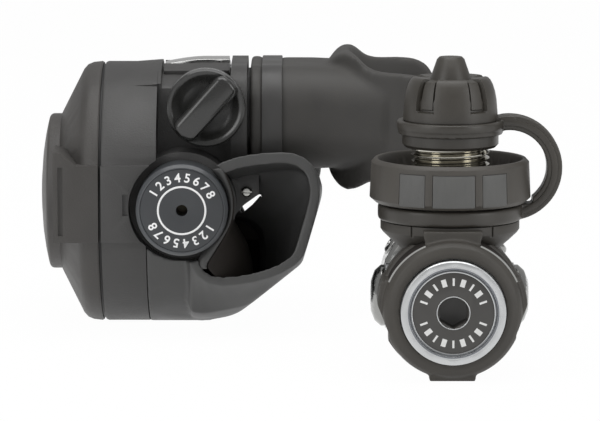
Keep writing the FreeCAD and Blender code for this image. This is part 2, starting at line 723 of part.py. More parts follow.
def demand_lever():
    tip_x = skin_front_x() + skin_t + 0.15 + disc_t + skin_gap
    low, high = barrel_r + skin_gap, barrel_r + skin_gap + lever_t
    parts = []
    for side in (-1, 1):
        flat = Part.makePolygon([Vec(knob_x + 2.4, lever_pivot_y + 1.4, low),
                                 Vec(knob_x, lever_pivot_y + 3.0, low),
                                 Vec(lever_bridge_x, lever_pivot_y - 0.6, low),
                                 Vec(lever_bridge_x, lever_pivot_y - 5.6, low),
                                 Vec(knob_x, lever_pivot_y - 3.0, low),
                                 Vec(knob_x + 2.4, lever_pivot_y - 1.4, low),
                                 Vec(knob_x + 2.4, lever_pivot_y + 1.4, low)])
        leg = upright(Part.Face(flat).extrude(Vec(0, 0, lever_t)))
        pin = rod(lever_pin_r, barrel_bore - 1.0, high, Vec(knob_x, lever_pivot_y, 0))
        leg = one(leg, pin)
        if side < 0:
            leg = leg.mirror(Vec(0, 0, 0), AXIS_Z)
        parts.append(leg)
    parts.append(block(lever_bridge_x - lever_t, lever_bridge_x + 0.2, lever_pivot_y - 5.6,
                       lever_pivot_y - 0.6,
                       -high, high))
    start = Vec(lever_bridge_x - lever_t, lever_pivot_y - 0.8, -3.2)
    arm = Part.makePolygon([start, Vec(tip_x + 1.4, lever_tip_y + 2.2, -3.2),
                            Vec(tip_x, lever_tip_y + 0.6, -3.2),
                            Vec(tip_x, lever_tip_y - 1.8, -3.2), Vec(tip_x + 1.2, lever_tip_y - 1.8, -3.2),
                            Vec(tip_x + 1.8, lever_tip_y + 0.2, -3.2),
                            Vec(lever_bridge_x - lever_t, lever_pivot_y - 2.8, -3.2), start])
    parts.append(upright(Part.Face(arm).extrude(Vec(0, 0, 6.4))))
    lever = one(*parts)
    lever.translate(Vec(0, 0, case_axis_z))
    return lever


def valve_barrel():
    sleeve = on_barrel([(barrel_bore, -dish_y), (barrel_r, -dish_y), (barrel_r, barrel_far_y),
                        (barrel_bore, barrel_far_y)])
    pin_hole = rod(lever_pin_r + run_gap, -20, 20, Vec(knob_x, lever_pivot_y, case_axis_z))
    window = block(knob_x, knob_x + 20, poppet_head_y - window_len / 2, poppet_head_y + window_len / 2,
                   case_axis_z - 2.4, case_axis_z + 2.4)
    return less(sleeve, pin_hole, window)


def seat_front_y():
    return poppet_head_y + 3.0 + seat_t


def poppet():
    shoulder = poppet_head_y - 18.0
    return on_barrel([(0, shoulder - 6.0), (poppet_stem_r, shoulder - 6.0), (poppet_stem_r, shoulder),
                      (barrel_bore - run_gap, shoulder), (barrel_bore - run_gap, shoulder + 1.5),
                      (poppet_stem_r, shoulder + 2.5), (poppet_stem_r, poppet_head_y),
                      (poppet_head_r, poppet_head_y + 1.0), (poppet_head_r, poppet_head_y + 3.0),
                      (0, poppet_head_y + 3.0)])


def poppet_seat():
    return on_barrel([(0, poppet_head_y + 3.0), (poppet_head_r - 1.0, poppet_head_y + 3.0),
                      (poppet_head_r - 1.0, seat_front_y()), (0, seat_front_y())])


def poppet_spring():
    start, end = screw_end_y + seat_gap, poppet_head_y - 18.0 - seat_gap
    return on_barrel([(4.2, start), (5.2, start), (5.2, end), (4.2, end)])


def orifice():
    tip = seat_front_y() + seat_gap
    outer = barrel_bore - run_gap
    return on_barrel([(orifice_bore, tip), (orifice_bore + 0.8, tip), (outer, tip + 3.6),
                      (outer, orifice_end_y), (orifice_bore, orifice_end_y)])


def inlet_start_y():
    return dish_y + skin_gap


def inlet_end_y():
    fins = fin_count * fin_t + (fin_count - 1) * fin_gap
    return inlet_start_y() + fins + inlet_shoulder_t + fin_gap + inlet_thread_len


def inlet_fitting():
    start = inlet_start_y()
    profile = [(inlet_bore, orifice_end_y), (barrel_bore - run_gap, orifice_end_y),
               (barrel_bore - run_gap, start)]
    y = start
    for n in range(fin_count):
        profile += [(fin_r, y), (fin_r, y + fin_t)]
        y += fin_t
        profile += [(fin_root_r, y), (fin_root_r, y + fin_gap)]
        y += fin_gap
    profile += [(inlet_shoulder_r, y), (inlet_shoulder_r, y + inlet_shoulder_t)]
    y += inlet_shoulder_t
    profile += [(inlet_thread_r, y), (inlet_thread_r, y + inlet_thread_len),
                (inlet_bore, y + inlet_thread_len)]
    return on_barrel(profile)


def inlet_seal():
    start = inlet_start_y()
    return on_barrel([(barrel_bore + run_gap, dish_y + 0.01), (barrel_r + 1.4, dish_y + 0.01),
                      (barrel_r + 1.4, start), (barrel_bore + run_gap, start)])


def adjusting_screw():
    back = knob_face_y + 9.0
    return on_barrel([(0, back), (knob_hub_r, back), (knob_hub_r, -dish_y - skin_gap),
                      (barrel_bore - run_gap, -dish_y + 1.0),
                      (barrel_bore - run_gap, screw_end_y), (3.2, screw_end_y), (3.2, screw_end_y - 5.0),
                      (0, screw_end_y - 5.0)])


def adjusting_knob():
    back = -dish_y - skin_gap
    face = knob_face_y
    knob = on_barrel([(knob_hole_r, face + knob_dial_depth), (knob_dial_r, face + knob_dial_depth),
                      (knob_dial_r, face), (knob_r - knob_chamfer, face),
                      (knob_r, face + knob_chamfer), (knob_r, back), (knob_r - 2.0, back),
                      (knob_r - 2.0, face + 4.0), (knob_hub_r + 2.2, face + 4.0),
                      (knob_hub_r + 2.2, back - 0.5),
                      (knob_hub_r, back - 0.5), (knob_hub_r, face + 9.0), (knob_hole_r, face + 9.0)])
    return knob


def knob_dial():
    face = knob_face_y
    return on_barrel([(knob_hole_r, face + 0.1), (knob_dial_r - 0.1, face + 0.1),
                      (knob_dial_r - 0.1, face + knob_dial_depth), (knob_hole_r, face + knob_dial_depth)])


def airflow_grip():
    """The small knob: a lobed disc with a leaning finger bar across its face."""
    back, face = small_knob_back_y, small_knob_face_y
    disc = turned([(0, -back), (small_knob_r - 0.8, -back), (small_knob_r, -back + 1.2),
                   (small_knob_r, -face - 1.6), (small_knob_r - 1.6, -face), (0, -face - 1.4)])
    cuts = []
    for n in range(small_knob_lobes):
        angle = math.radians(360 / small_knob_lobes * (n + 0.5))
        reach = small_knob_r + 5.2
        cuts.append(rod(6.0, -back - 1, -face + 1, Vec(reach * math.cos(angle), reach * math.sin(angle),
                                                       0)))
    bar = block(-small_knob_r + 1.4, small_knob_r - 1.4, -small_knob_bar_w / 2, small_knob_bar_w / 2,
                -back + 2,
                -face + small_knob_bar)
    trim = turned([(0, -back), (small_knob_r, -back), (small_knob_r, -face - 1.0),
                   (small_knob_r - 3.0, -face + small_knob_bar - 0.7), (0, -face + small_knob_bar)])
    bar = bar.common(trim)
    grip = one(less(disc, *cuts), bar)
    grip.rotate(Vec(0, 0, 0), AXIS_Z, small_knob_lean)
    return placed(grip, Vec(vane_x, 0, case_axis_z + vane_z), Vec(0, -1, 0))


def airflow_knob():
    stem = barrel_rod(vane_stem_r, small_knob_back_y, -vane_half_w + 1, vane_x, vane_z)
    return one(airflow_grip(), stem)


def airflow_vane():
    z = case_axis_z + vane_z
    paddle = block(vane_x - 0.8, vane_x + 0.8, -vane_half_w, vane_half_w, z - vane_reach, z)
    hub = rod(vane_stem_r + 1.0, -vane_half_w, vane_half_w, Vec(vane_x, 0, z), AXIS_Y)
    bore = rod(vane_stem_r, -vane_half_w - 1, -vane_half_w + 1, Vec(vane_x, 0, z), AXIS_Y)
    return less(one(paddle, hub), bore)


def shield_mouth_side():
    """Everything on the mouth's side of the lip shield."""
    near, wing, half = shield_near_x + shield_t, shield_wing_x + 9.0, shield_half_w - 3.0
    z0 = case_axis_z - 6
    edges = outline_edges([Vec(wing, -half, z0), (Vec(near, 0, z0), Vec(wing, half, z0)),
                           Vec(wing + 30, half, z0),
                           Vec(wing + 30, -half, z0)])
    return upright(Part.Face(Part.Wire(edges)).extrude(Vec(0, 0, 62)))


def mouth_shield():
    """The curved lip shield: its plan bends round the mouth, its side outline is cut through it."""
    near, wing, half = shield_near_x, shield_wing_x, shield_half_w
    z0 = case_axis_z - 5
    edges = outline_edges([Vec(wing, -half, z0), (Vec(near, 0, z0), Vec(wing, half, z0)),
                           Vec(wing + 9.0, half, z0),
                           Vec(wing + 9.0, -half, z0)])
    plan = upright(Part.Face(Part.Wire(edges)).extrude(Vec(0, 0, 60)))
    points = [Vec(x, -40, case_axis_z + z) for x, z in shield_outline]
    curve = Part.BSplineCurve()
    curve.interpolate(points, PeriodicFlag=True)
    side = upright(Part.Face(Part.Wire([curve.toShape()])).extrude(Vec(0, 80, 0)))
    return plan.common(side)


def mouthpiece():
    sleeve_w, sleeve_h = band_half_w - band_t, band_half_h - band_t
    sleeve = oblong(sleeve_start_x, band_end_x2 + 0.5, sleeve_w, sleeve_h)
    bead = oblong(sleeve_start_x, bead_end_x, sleeve_w + bead_grow, sleeve_h + bead_grow)
    neck = upright(Part.makeLoft([oblong_wire(band_end_x2, sleeve_w, sleeve_h + 0.7),
                                  oblong_wire(neck_x, neck_half_w, neck_half_h),
                                  oblong_wire(shield_near_x + 5.0, neck_half_w + 1.0, neck_half_h - 0.6),
                                  oblong_wire(shield_near_x + 17.0, shield_half_w - 1.2,
                                              neck_half_h - 1.6)],
                                 True, True))
    shell = less(one(sleeve, bead, neck, mouth_shield()), shield_mouth_side())
    tabs = []
    for side in (-1, 1):
        z = case_axis_z + port_z
        tab = block(shield_near_x + 9, bite_tab_end_x, bite_tab_y, bite_tab_y + bite_tab_t,
                    z - bite_tab_half_h, z + bite_tab_half_h)
        end = block(bite_tab_end_x - 4, bite_tab_end_x, bite_tab_y - 2, bite_tab_y + bite_tab_t,
                    z - bite_tab_half_h, z + bite_tab_half_h)
        pair = one(tab, end)
        tabs.append(pair if side > 0 else mirrored_y(pair))
    bore = oblong(sleeve_start_x - 1, port_end_x + 0.3, port_half_w + seat_gap, port_half_h + seat_gap)
    way = oblong(port_end_x - 1, 40, mouth_bore_w, mouth_bore_h)
    return one(less(shell, bore, way), *[less(tab, way) for tab in tabs])


def mouthpiece_clamp():
    outer = oblong(band_start_x, band_end_x2, band_half_w, band_half_h)
    inner = oblong(band_start_x - 1, band_end_x2 + 1, band_half_w - band_t, band_half_h - band_t)
    buckle = block(band_start_x + 1, band_end_x2 - 1, -4, 4, case_axis_z + port_z - band_half_h - 1.3,
                   case_axis_z + port_z - band_half_h + 0.6)
    return less(one(outer, buckle), inner)


def first_stage_body():
    ring_end = body_ring_y + body_ring_t
    shell = on_stage([(0, stage_front_y), (rim_r - 0.3, stage_front_y), (rim_r, stage_front_y + 0.3),
                      (rim_r, boot_front_y + 1.6), (body_r, boot_front_y + 1.6), (body_r, body_ring_y),
                      (body_ring_r, body_ring_y), (body_ring_r, ring_end), (body_r, ring_end),
                      (body_r, body_back_y - 1.2), (body_r - 1.2, body_back_y), (0, body_back_y)])
    neck = rod(neck_r, stage_z, neck_top_z, Vec(din_x, din_y, 0))
    side = rod(side_boss_r, -side_boss_x, side_boss_x, Vec(din_x, side_port_y, stage_z), AXIS_X)
    solid = one(shell, neck, side)
    front = rim_bore
    bores = [on_stage([(0, stage_front_y - 1), (front, stage_front_y - 1),
                       (front, stage_front_y + plug_len + 0.9),
                       (high_chamber_r, stage_front_y + plug_len + 0.9),
                       (high_chamber_r, high_chamber_end_y), (0, high_chamber_end_y)]),
             on_stage([(0, high_chamber_end_y - 1), (piston_stem_r + run_gap, high_chamber_end_y - 1),
                       (piston_stem_r + run_gap, low_chamber_y + 1), (0, low_chamber_y + 1)]),
             on_stage([(0, low_chamber_y), (low_chamber_r, low_chamber_y),
                       (low_chamber_r, body_back_y - bolt_flange_t),
                       (bolt_flange_r + seat_gap / 2, body_back_y - bolt_flange_t),
                       (bolt_flange_r + seat_gap / 2, body_back_y + 1), (0, body_back_y + 1)]),
             on_stage([(0, low_chamber_y - bushing_len), (bushing_r + seat_gap / 2,
                                                          low_chamber_y - bushing_len),
                       (bushing_r + seat_gap / 2, low_chamber_y), (0, low_chamber_y)]),
             rod(retainer_r - 1.0, stage_z, neck_top_z + 1, Vec(din_x, din_y, 0)),
             rod(side_plug_thread_r + seat_gap / 2, -30, -side_boss_x + side_plug_thread_len + 0.5,
                 Vec(din_x, side_port_y, stage_z), AXIS_X),
             rod(side_plug_thread_r + seat_gap / 2, side_boss_x - side_plug_thread_len - 0.5, 30,
                 Vec(din_x, side_port_y, stage_z), AXIS_X)]
    return less(solid, *bores)


def seat_plug():
    front = stage_front_y + plug_recess
    plug = on_stage([(0, front), (plug_face_r, front), (plug_face_r, front + 2.2),
                     (rim_bore - seat_gap, front + 2.2),
                     (rim_bore - seat_gap, stage_front_y + plug_len), (0, stage_front_y + plug_len)])
    corners = []
    for n in range(6):
        angle = math.radians(60 * n + 30)
        reach = hex_flats / 2 / math.cos(math.radians(30))
        corners.append(Vec(din_x + reach * math.cos(angle), front - 1, stage_z + reach * math.sin(angle)))
    socket = upright(Part.Face(Part.makePolygon(corners + [corners[0]])).extrude(Vec(0, hex_depth + 1, 0)))
    sink = on_stage([(0, front - 0.1), (hex_chamfer_r + 0.1, front - 0.1),
                     (hex_chamfer_r - 0.6, front + 0.7), (0, front + 0.7)])
    return less(plug, socket, sink)


def seat_carrier():
    start = stage_front_y + plug_len
    end = start + carrier_len
    return on_stage([(0, start), (high_chamber_r - 1.4, start), (high_chamber_r - 1.4, end),
                     (seat_disc_r, end),
                     (seat_disc_r, end - seat_disc_t), (0, end - seat_disc_t)])


def pressure_seat():
    end = stage_front_y + plug_len + carrier_len
    return on_stage([(0, end - seat_disc_t), (seat_disc_r - seat_gap, end - seat_disc_t),
                     (seat_disc_r - seat_gap, end), (0, end)])


def stem_bushing():
    return on_stage([(piston_stem_r + run_gap, low_chamber_y - bushing_len),
                     (bushing_r, low_chamber_y - bushing_len),
                     (bushing_r, low_chamber_y), (piston_stem_r + run_gap, low_chamber_y)])


def piston_head_y():
    return body_back_y - bolt_flange_t - seat_gap - piston_head_t


def piston():
    tip = stage_front_y + plug_len + carrier_len + seat_gap + piston_travel
    head = piston_head_y()
    groove = 1.7
    return on_stage([(piston_bore, tip), (piston_bore + 0.7, tip), (piston_stem_r, tip + 2.6),
                     (piston_stem_r, head),
                     (low_chamber_r - run_gap, head), (low_chamber_r - run_gap, head + 0.9),
                     (low_chamber_r - groove, head + 0.9), (low_chamber_r - groove, head + 2.7),
                     (low_chamber_r - run_gap, head + 2.7), (low_chamber_r - run_gap, head + piston_head_t),
                     (piston_bore, head + piston_head_t)])


def piston_seal():
    head = piston_head_y()
    return on_stage([(low_chamber_r - 1.65, head + 0.95), (low_chamber_r - run_gap, head + 0.95),
                     (low_chamber_r - run_gap, head + 2.65), (low_chamber_r - 1.65, head + 2.65)])


def piston_spring():
    start, end = low_chamber_y + seat_gap, piston_head_y() - seat_gap
    return on_stage([(main_spring_r - main_spring_wire, start), (main_spring_r, start),
                     (main_spring_r, end),
                     (main_spring_r - main_spring_wire, end)])


def side_port_plugs():
    plugs = []
    for side in (-1, 1):
        plug = turned([(0, side_boss_x - side_plug_thread_len), (side_plug_thread_r,
                                                                 side_boss_x - side_plug_thread_len),
                       (side_plug_thread_r, side_boss_x + seat_gap), (side_plug_r, side_boss_x + seat_gap),
                       (side_plug_r, side_boss_x + 1.3), (side_plug_r - 1.6, side_plug_top - 1.2),
                       (side_plug_r - 4.4, side_plug_top - 0.1), (3.0, side_plug_top),
                       (3.0, side_plug_top - 2.2), (0, side_plug_top - 2.2)])
        plugs.append(placed(plug, Vec(din_x, side_port_y, stage_z), Vec(side, 0, 0)))
    return Part.makeCompound(plugs)


def boot_foot():
    """The flat pad that runs under the boot, which the stage rests on."""
    half = boot_foot_w / 2
    foot = block(din_x - half, din_x + half, boot_front_y + 2.2, boot_foot_end_y, 0, stage_z - body_r + 2.5)
    return less(foot, on_stage([(0, -200), (body_r + seat_gap, -200), (body_r + seat_gap, 0), (0, 0)]))


def boot_tab():
    """The tab that climbs from the boot's front ring to the collar."""
    top, low = boot_tab_top_w / 2, boot_tab_low_w / 2
    z_low, z_top = stage_z + body_r - 3.5, collar_top_z - 0.4
    tab = slab_y(((din_x - low, z_low), (din_x + low, z_low), (din_x + top, z_top), (din_x - top, z_top)),
                 boot_front_y + 4.6, din_y - collar_r + 1.0)
    return less(tab, on_inlet([(0, collar_low_z - 8), (collar_r + seat_gap, collar_low_z - 8),
                               (collar_r + seat_gap, 60), (0, 60)]))


def rubber_boot():
    inner = body_r + seat_gap
    front = on_stage([(boot_face_bore, boot_front_y), (boot_face_r - 1.2, boot_front_y),
                      (boot_face_r + 0.7, boot_front_y + 0.8), (boot_r - 0.4, boot_front_y + 2.2),
                      (boot_r, boot_front_y + 4.2), (boot_r, body_ring_y - seat_gap),
                      (inner, body_ring_y - seat_gap),
                      (inner, boot_front_y + 1.5), (boot_face_bore, boot_front_y + 1.5)])
    start = body_ring_y + body_ring_t + seat_gap
    band = on_stage([(inner, start), (boot_band_r - 0.8, start), (boot_band_r, start + 0.8),
                     (boot_band_r, boot_band_end_y - 1.2), (boot_band_r - 1.2, boot_band_end_y),
                     (inner, boot_band_end_y)])
    flanks = []
    for side in (-1, 1):
        low, high = stage_z + boot_flank_low, stage_z + boot_flank_high
        y0 = boot_front_y + 5.0
        edges = outline_edges([Vec(side * inner * 0.85, y0, low), Vec(side * (boot_flank_r - 1.6), y0, low),
                               (Vec(side * boot_flank_r, y0, stage_z),
                                Vec(side * (boot_flank_r - 1.6), y0, high)),
                               Vec(side * inner * 0.85, y0, high)])
        flank = upright(Part.Face(Part.Wire(edges)).extrude(Vec(0, boot_band_end_y - 1.0 - y0, 0)))
        flank.translate(Vec(din_x, 0, 0))
        flanks.append(flank)
    whole = one(front, band, boot_foot(), boot_tab(), *flanks)
    room = on_stage([(0, -200), (inner, -200), (inner, body_ring_y - seat_gap), (body_ring_r + seat_gap,
                    body_ring_y - seat_gap), (body_ring_r + seat_gap, start), (inner, start), (inner, 0),
                    (0, 0)])
    face = on_stage([(0, -200), (boot_face_bore, -200), (boot_face_bore, boot_front_y + 3),
                     (0, boot_front_y + 3)])
    body_room = less(room, on_stage([(boot_face_bore, -200), (60, -200), (60, boot_front_y + 1.5),
                                     (boot_face_bore, boot_front_y + 1.5)]))
    under_collar = on_inlet([(0, 20), (neck_r + seat_gap, 20), (neck_r + seat_gap, collar_low_z - 1),
                             (collar_low_r + 1.5, collar_low_z - 1),
                             (collar_r + seat_gap, collar_bulge_z - 1),
                             (collar_r + seat_gap, 60), (0, 60)])
    under_collar = less(under_collar, block(0, 100, -200, boot_front_y + 10.4, -1, 100))
    return biggest(less(whole, body_room, face, under_collar, collar_bowl(0, skin_gap),
                        block(-200, 200, -200, 200, -50, 0)))


def collar_bowl(bore, gap):
    """The collar's bowl shape, or with a gap the room that its neighbours leave for it."""
    return on_inlet([(bore, collar_low_z - gap), (collar_low_r + 0.6 + gap, collar_low_z - gap),
                     (collar_low_r + 3.8 + gap, collar_low_z + 2.8 - gap),
                     (collar_r - 0.6 + gap, collar_bulge_z - 0.9 - gap), (collar_r + gap, collar_bulge_z),
                     (collar_r + gap, collar_top_z + gap), (bore, collar_top_z + gap)])


def saddle_collar():
    bowl = collar_bowl(neck_r + seat_gap, 0.0)
    body_room = on_stage([(0, -200), (body_r + seat_gap, -200), (body_r + seat_gap, 0), (0, 0)])
    ring_room = on_stage([(0, body_ring_y - 1), (body_ring_r + 0.6, body_ring_y - 1),
                          (body_ring_r + 0.6, body_ring_y + body_ring_t + 1),
                          (0, body_ring_y + body_ring_t + 1)])
    flats = []
    for side in (-1, 1):
        for turn in (55, 125):
            seam = block(collar_r - 0.5, collar_r + 2, -0.35, 0.35, collar_low_z, collar_top_z + 1)
            seam.rotate(Vec(0, 0, 0), AXIS_Z, side * turn)
            seam.translate(Vec(din_x, din_y, 0))
            flats.append(seam)
    return biggest(less(bowl, body_room, ring_room, *flats))


def swivel_turret():
    start = body_back_y + skin_gap
    end = start + turret_len
    shell = on_stage([(turret_bore, start), (turret_r - 1.0, start), (turret_r, start + 1.0),
                      (turret_r, end - 4.0),
                      (turret_r - 1.2, end - 1.2), (turret_r - 3.4, end), (turret_bore, end)])
    ports = []
    for degrees in lp_plug_degrees:
        angle = math.radians(degrees)
        out = Vec(math.cos(angle), 0, math.sin(angle))
        base = Vec(din_x, lp_port_y, stage_z)
        ports.append(rod(lp_plug_r + 0.5, turret_r - 2.2, turret_r + 3, base, out))
        ports.append(rod(lp_plug_thread_r + seat_gap / 2, turret_bore - 1, turret_r, base, out))
    return less(shell, *ports)


def lp_port_plugs():
    plugs = []
    for degrees in lp_plug_degrees:
        angle = math.radians(degrees)
        seat = turret_r - 2.2
        plug = turned([(0, seat - lp_plug_thread_len), (lp_plug_thread_r, seat - lp_plug_thread_len),
                       (lp_plug_thread_r, seat + seat_gap), (lp_plug_r, seat + seat_gap),
                       (lp_plug_r, lp_plug_top - 0.8),
                       (lp_plug_r - 0.8, lp_plug_top), (2.2, lp_plug_top), (2.2, lp_plug_top - 2.0),
                       (0, lp_plug_top - 2.0)])
        plugs.append(placed(plug, Vec(din_x, lp_port_y, stage_z), Vec(math.cos(angle), 0, math.sin(angle))))
    return Part.makeCompound(plugs)


def turret_bolt():
    """The hollow bolt that holds the turret and feeds it, screwed into the back of the body."""
    end = body_back_y + skin_gap + turret_len + skin_gap
    shank = turret_bore - run_gap
    return on_stage([(3.0, body_back_y - bolt_flange_t), (bolt_flange_r, body_back_y - bolt_flange_t),
                     (bolt_flange_r, body_back_y), (shank, body_back_y), (shank, end),
                     (turret_bolt_head_r, end),
                     (turret_bolt_head_r, end + turret_bolt_head_t - 0.8),
                     (turret_bolt_head_r - 0.8, end + turret_bolt_head_t), (3.0, end + turret_bolt_head_t)])


def din_retainer():
    """The hollow bolt that carries the coupling and holds the filter, screwed into the body's neck."""
    return on_inlet([(retainer_bore, neck_top_z), (retainer_hex_r, neck_top_z),
                     (retainer_hex_r, neck_top_z + retainer_hex_t),
                     (retainer_r, neck_top_z + retainer_hex_t),
                     (retainer_r, retainer_top_z), (filter_r, retainer_top_z),
                     (filter_r, retainer_top_z - filter_len),
                     (retainer_bore, retainer_top_z - filter_len)])


def din_filter():
    top = retainer_top_z - 1.0
    low = retainer_top_z - filter_len + 0.05
    return on_inlet([(0, low), (filter_r - 0.1, low), (filter_r - 0.1, low + 2.0), (1.4, top), (0, top)])


def din_coupling():
    return on_inlet([(retainer_r + run_gap, din_low_z), (din_thread_r, din_low_z),
                     (din_thread_r, din_top_z - 1.0),
                     (din_thread_r - 1.0, din_top_z), (face_ring_r + 1.0, din_top_z),
                     (face_ring_r + 1.0, din_top_z - 1.6), (retainer_r + run_gap, din_top_z - 1.6)])


def din_face_seal():
    low = din_top_z - 1.6
    return on_inlet([(retainer_r + run_gap + 0.3, low + 0.05), (face_ring_r + 0.9, low + 0.05),
                     (face_ring_r + 0.9, low + 1.2),
                     (face_ring_r + 0.4, low + face_ring_wire), (retainer_r + run_gap + 0.8,
                                                                 low + face_ring_wire),
                     (retainer_r + run_gap + 0.3, low + 1.2)])


def inlay_sector(inner, outer, span, low, high):
    """A ring segment round the inlet axis; span is in degrees from the side that faces the viewer."""
    start, end = (math.radians(angle - 90) for angle in span)
    middle = (start + end) / 2

    def at(radius, angle):
        return Vec(din_x + radius * math.cos(angle), din_y + radius * math.sin(angle), low)

    edges = outline_edges([at(inner, start), (at(inner, middle), at(inner, end)), at(outer, end),
                           (at(outer, middle), at(outer, start))])
    return upright(Part.Face(Part.Wire(edges)).extrude(Vec(0, 0, high - low)))


def inlay_list(inner, outer, grow):
    rows = []
    for group in range(inlay_groups):
        for start, end in inlay_spans:
            turn = 360 / inlay_groups * group
            rows.append(inlay_sector(inner, outer, (start + turn - grow, end + turn + grow),
                                     inlay_low_z - grow * 0.4,
                                     inlay_high_z + grow * 0.4))
    return rows


def din_handwheel():
    hub = din_thread_r + run_gap
    wheel = on_inlet([(hub, wheel_low_z + wheel_under_depth), (wheel_under_r,
                                                               wheel_low_z + wheel_under_depth),
                      (wheel_under_r, wheel_low_z), (wheel_r - 1.6, wheel_low_z),
                      (wheel_r, wheel_low_z + 1.4),
                      (wheel_top_r, wheel_top_z - 1.0), (wheel_top_r - 0.9, wheel_top_z),
                      (wheel_recess_r + 0.4, wheel_top_z), (wheel_recess_r, wheel_top_z - 0.6),
                      (wheel_recess_r - 0.8, wheel_recess_z), (hub, wheel_recess_z)])
    return less(wheel, *inlay_list(wheel_r - inlay_depth - 0.3, wheel_r + 3, 0.25))


def handwheel_inlays():
    limit = on_inlet([(0, wheel_low_z), (wheel_r, wheel_low_z + 0.2), (wheel_top_r + 0.05, wheel_top_z),
                      (0, wheel_top_z)])
    return Part.makeCompound([row.common(limit) for row in
                              inlay_list(wheel_r - inlay_depth - 0.25, wheel_r + 3, 0.0)])


def dust_cap():
    groove_low, groove_high = strap_ring_low_z - 0.15, strap_ring_high_z + 0.15
    cap = on_inlet([(cap_bore, cap_low_z), (cap_low_r - 0.9, cap_low_z), (cap_low_r, cap_low_z + 0.9),
                    (cap_low_r, groove_low), (cap_groove_r, groove_low), (cap_groove_r, groove_high),
                    (cap_dome_low_r, groove_high), (cap_dome_low_r - 0.2, cap_dome_top_z - 8.2),
                    (cap_dome_low_r - 0.9, cap_dome_top_z - 3.9),
                    (cap_dome_top_r + 0.7, cap_dome_top_z - 0.9),
                    (cap_dome_top_r - 0.5, cap_dome_top_z), (cap_cone_low_r, cap_dome_top_z - 0.6),
                    (cap_cone_top_r, cap_top_z - 0.5), (cap_cone_top_r - 0.6, cap_top_z), (0, cap_top_z),
                    (0, cap_bore_top_z), (cap_bore - 0.5, cap_bore_top_z),
                    (cap_bore, cap_bore_top_z - 1.0)])
    panels = []
    low, high = strap_ring_high_z + 1.4, cap_dome_top_z - 1.9
    for n in range(cap_panels):
        if n % 2:
            continue
        panel = on_inlet([(cap_dome_low_r - cap_panel_depth, low), (30, low), (30, high),
                          (cap_dome_top_r - cap_panel_depth + 0.6, high),
                          (cap_dome_low_r - cap_panel_depth - 0.4, cap_dome_top_z - 6.2)])
        wedge = inlay_sector(5, 35, (360 / cap_panels * (n - 0.5) + 4.5 + 22.5,
                                     360 / cap_panels * (n + 0.5) - 4.5 + 22.5),
                             low - 1, high + 1)
        panels.append(panel.common(wedge))
    return less(cap, *panels)


def cap_strap():
    """The strap in one piece: a ring round the cap, a loop outside the handwheel and a ring below it."""
    upper = on_inlet([(cap_groove_r + seat_gap, strap_ring_low_z), (strap_ring_r - 0.4, strap_ring_low_z),
                      (strap_ring_r - 0.4, strap_ring_low_z + 1.5), (strap_ring_r, strap_ring_low_z + 1.7),
                      (strap_ring_r, strap_ring_high_z - 0.3), (strap_ring_r - 0.3, strap_ring_high_z),
                      (cap_groove_r + seat_gap, strap_ring_high_z)])
    lower = on_inlet([(tether_ring_bore, tether_low_z), (tether_ring_r - 0.5, tether_low_z),
                      (tether_ring_r, tether_low_z + 0.6), (tether_ring_r, tether_high_z - 0.6),
                      (tether_ring_r - 0.5, tether_high_z), (tether_ring_bore, tether_high_z)])
    low = Vec(din_x + loop_x, din_y - loop_w / 2, loop_z)

    def at(radius, degrees):
        angle = math.radians(degrees)
        return low + Vec(radius * math.cos(angle), 0, radius * math.sin(angle))

    edges = outline_edges([at(loop_in_r, -104), (at(loop_in_r, 0), at(loop_in_r, 100)), at(loop_out_r, 100),
                           (at(loop_out_r, 0), at(loop_out_r, -104))])
    loop = upright(Part.Face(Part.Wire(edges)).extrude(Vec(0, loop_w, 0)))
    groove = tube(loop_out_r + 3, loop_out_r - loop_groove_depth, -loop_groove_w / 2, loop_groove_w / 2,
                  Vec(din_x + loop_x, din_y, loop_z), AXIS_Y)
    clear = [rod(wheel_r + 0.6, wheel_low_z - 0.5, 63.0, Vec(din_x, din_y, 0)),
             rod(cap_groove_r + seat_gap, 60, 80, Vec(din_x, din_y, 0)),
             rod(tether_ring_bore, tether_low_z - 1, tether_high_z + 1, Vec(din_x, din_y, 0)),
             rod(2 * loop_x + loop_out_r, 0, tether_low_z, Vec(din_x, din_y, 0))]
    return biggest(less(one(upper, lower, less(loop, groove)), *clear))


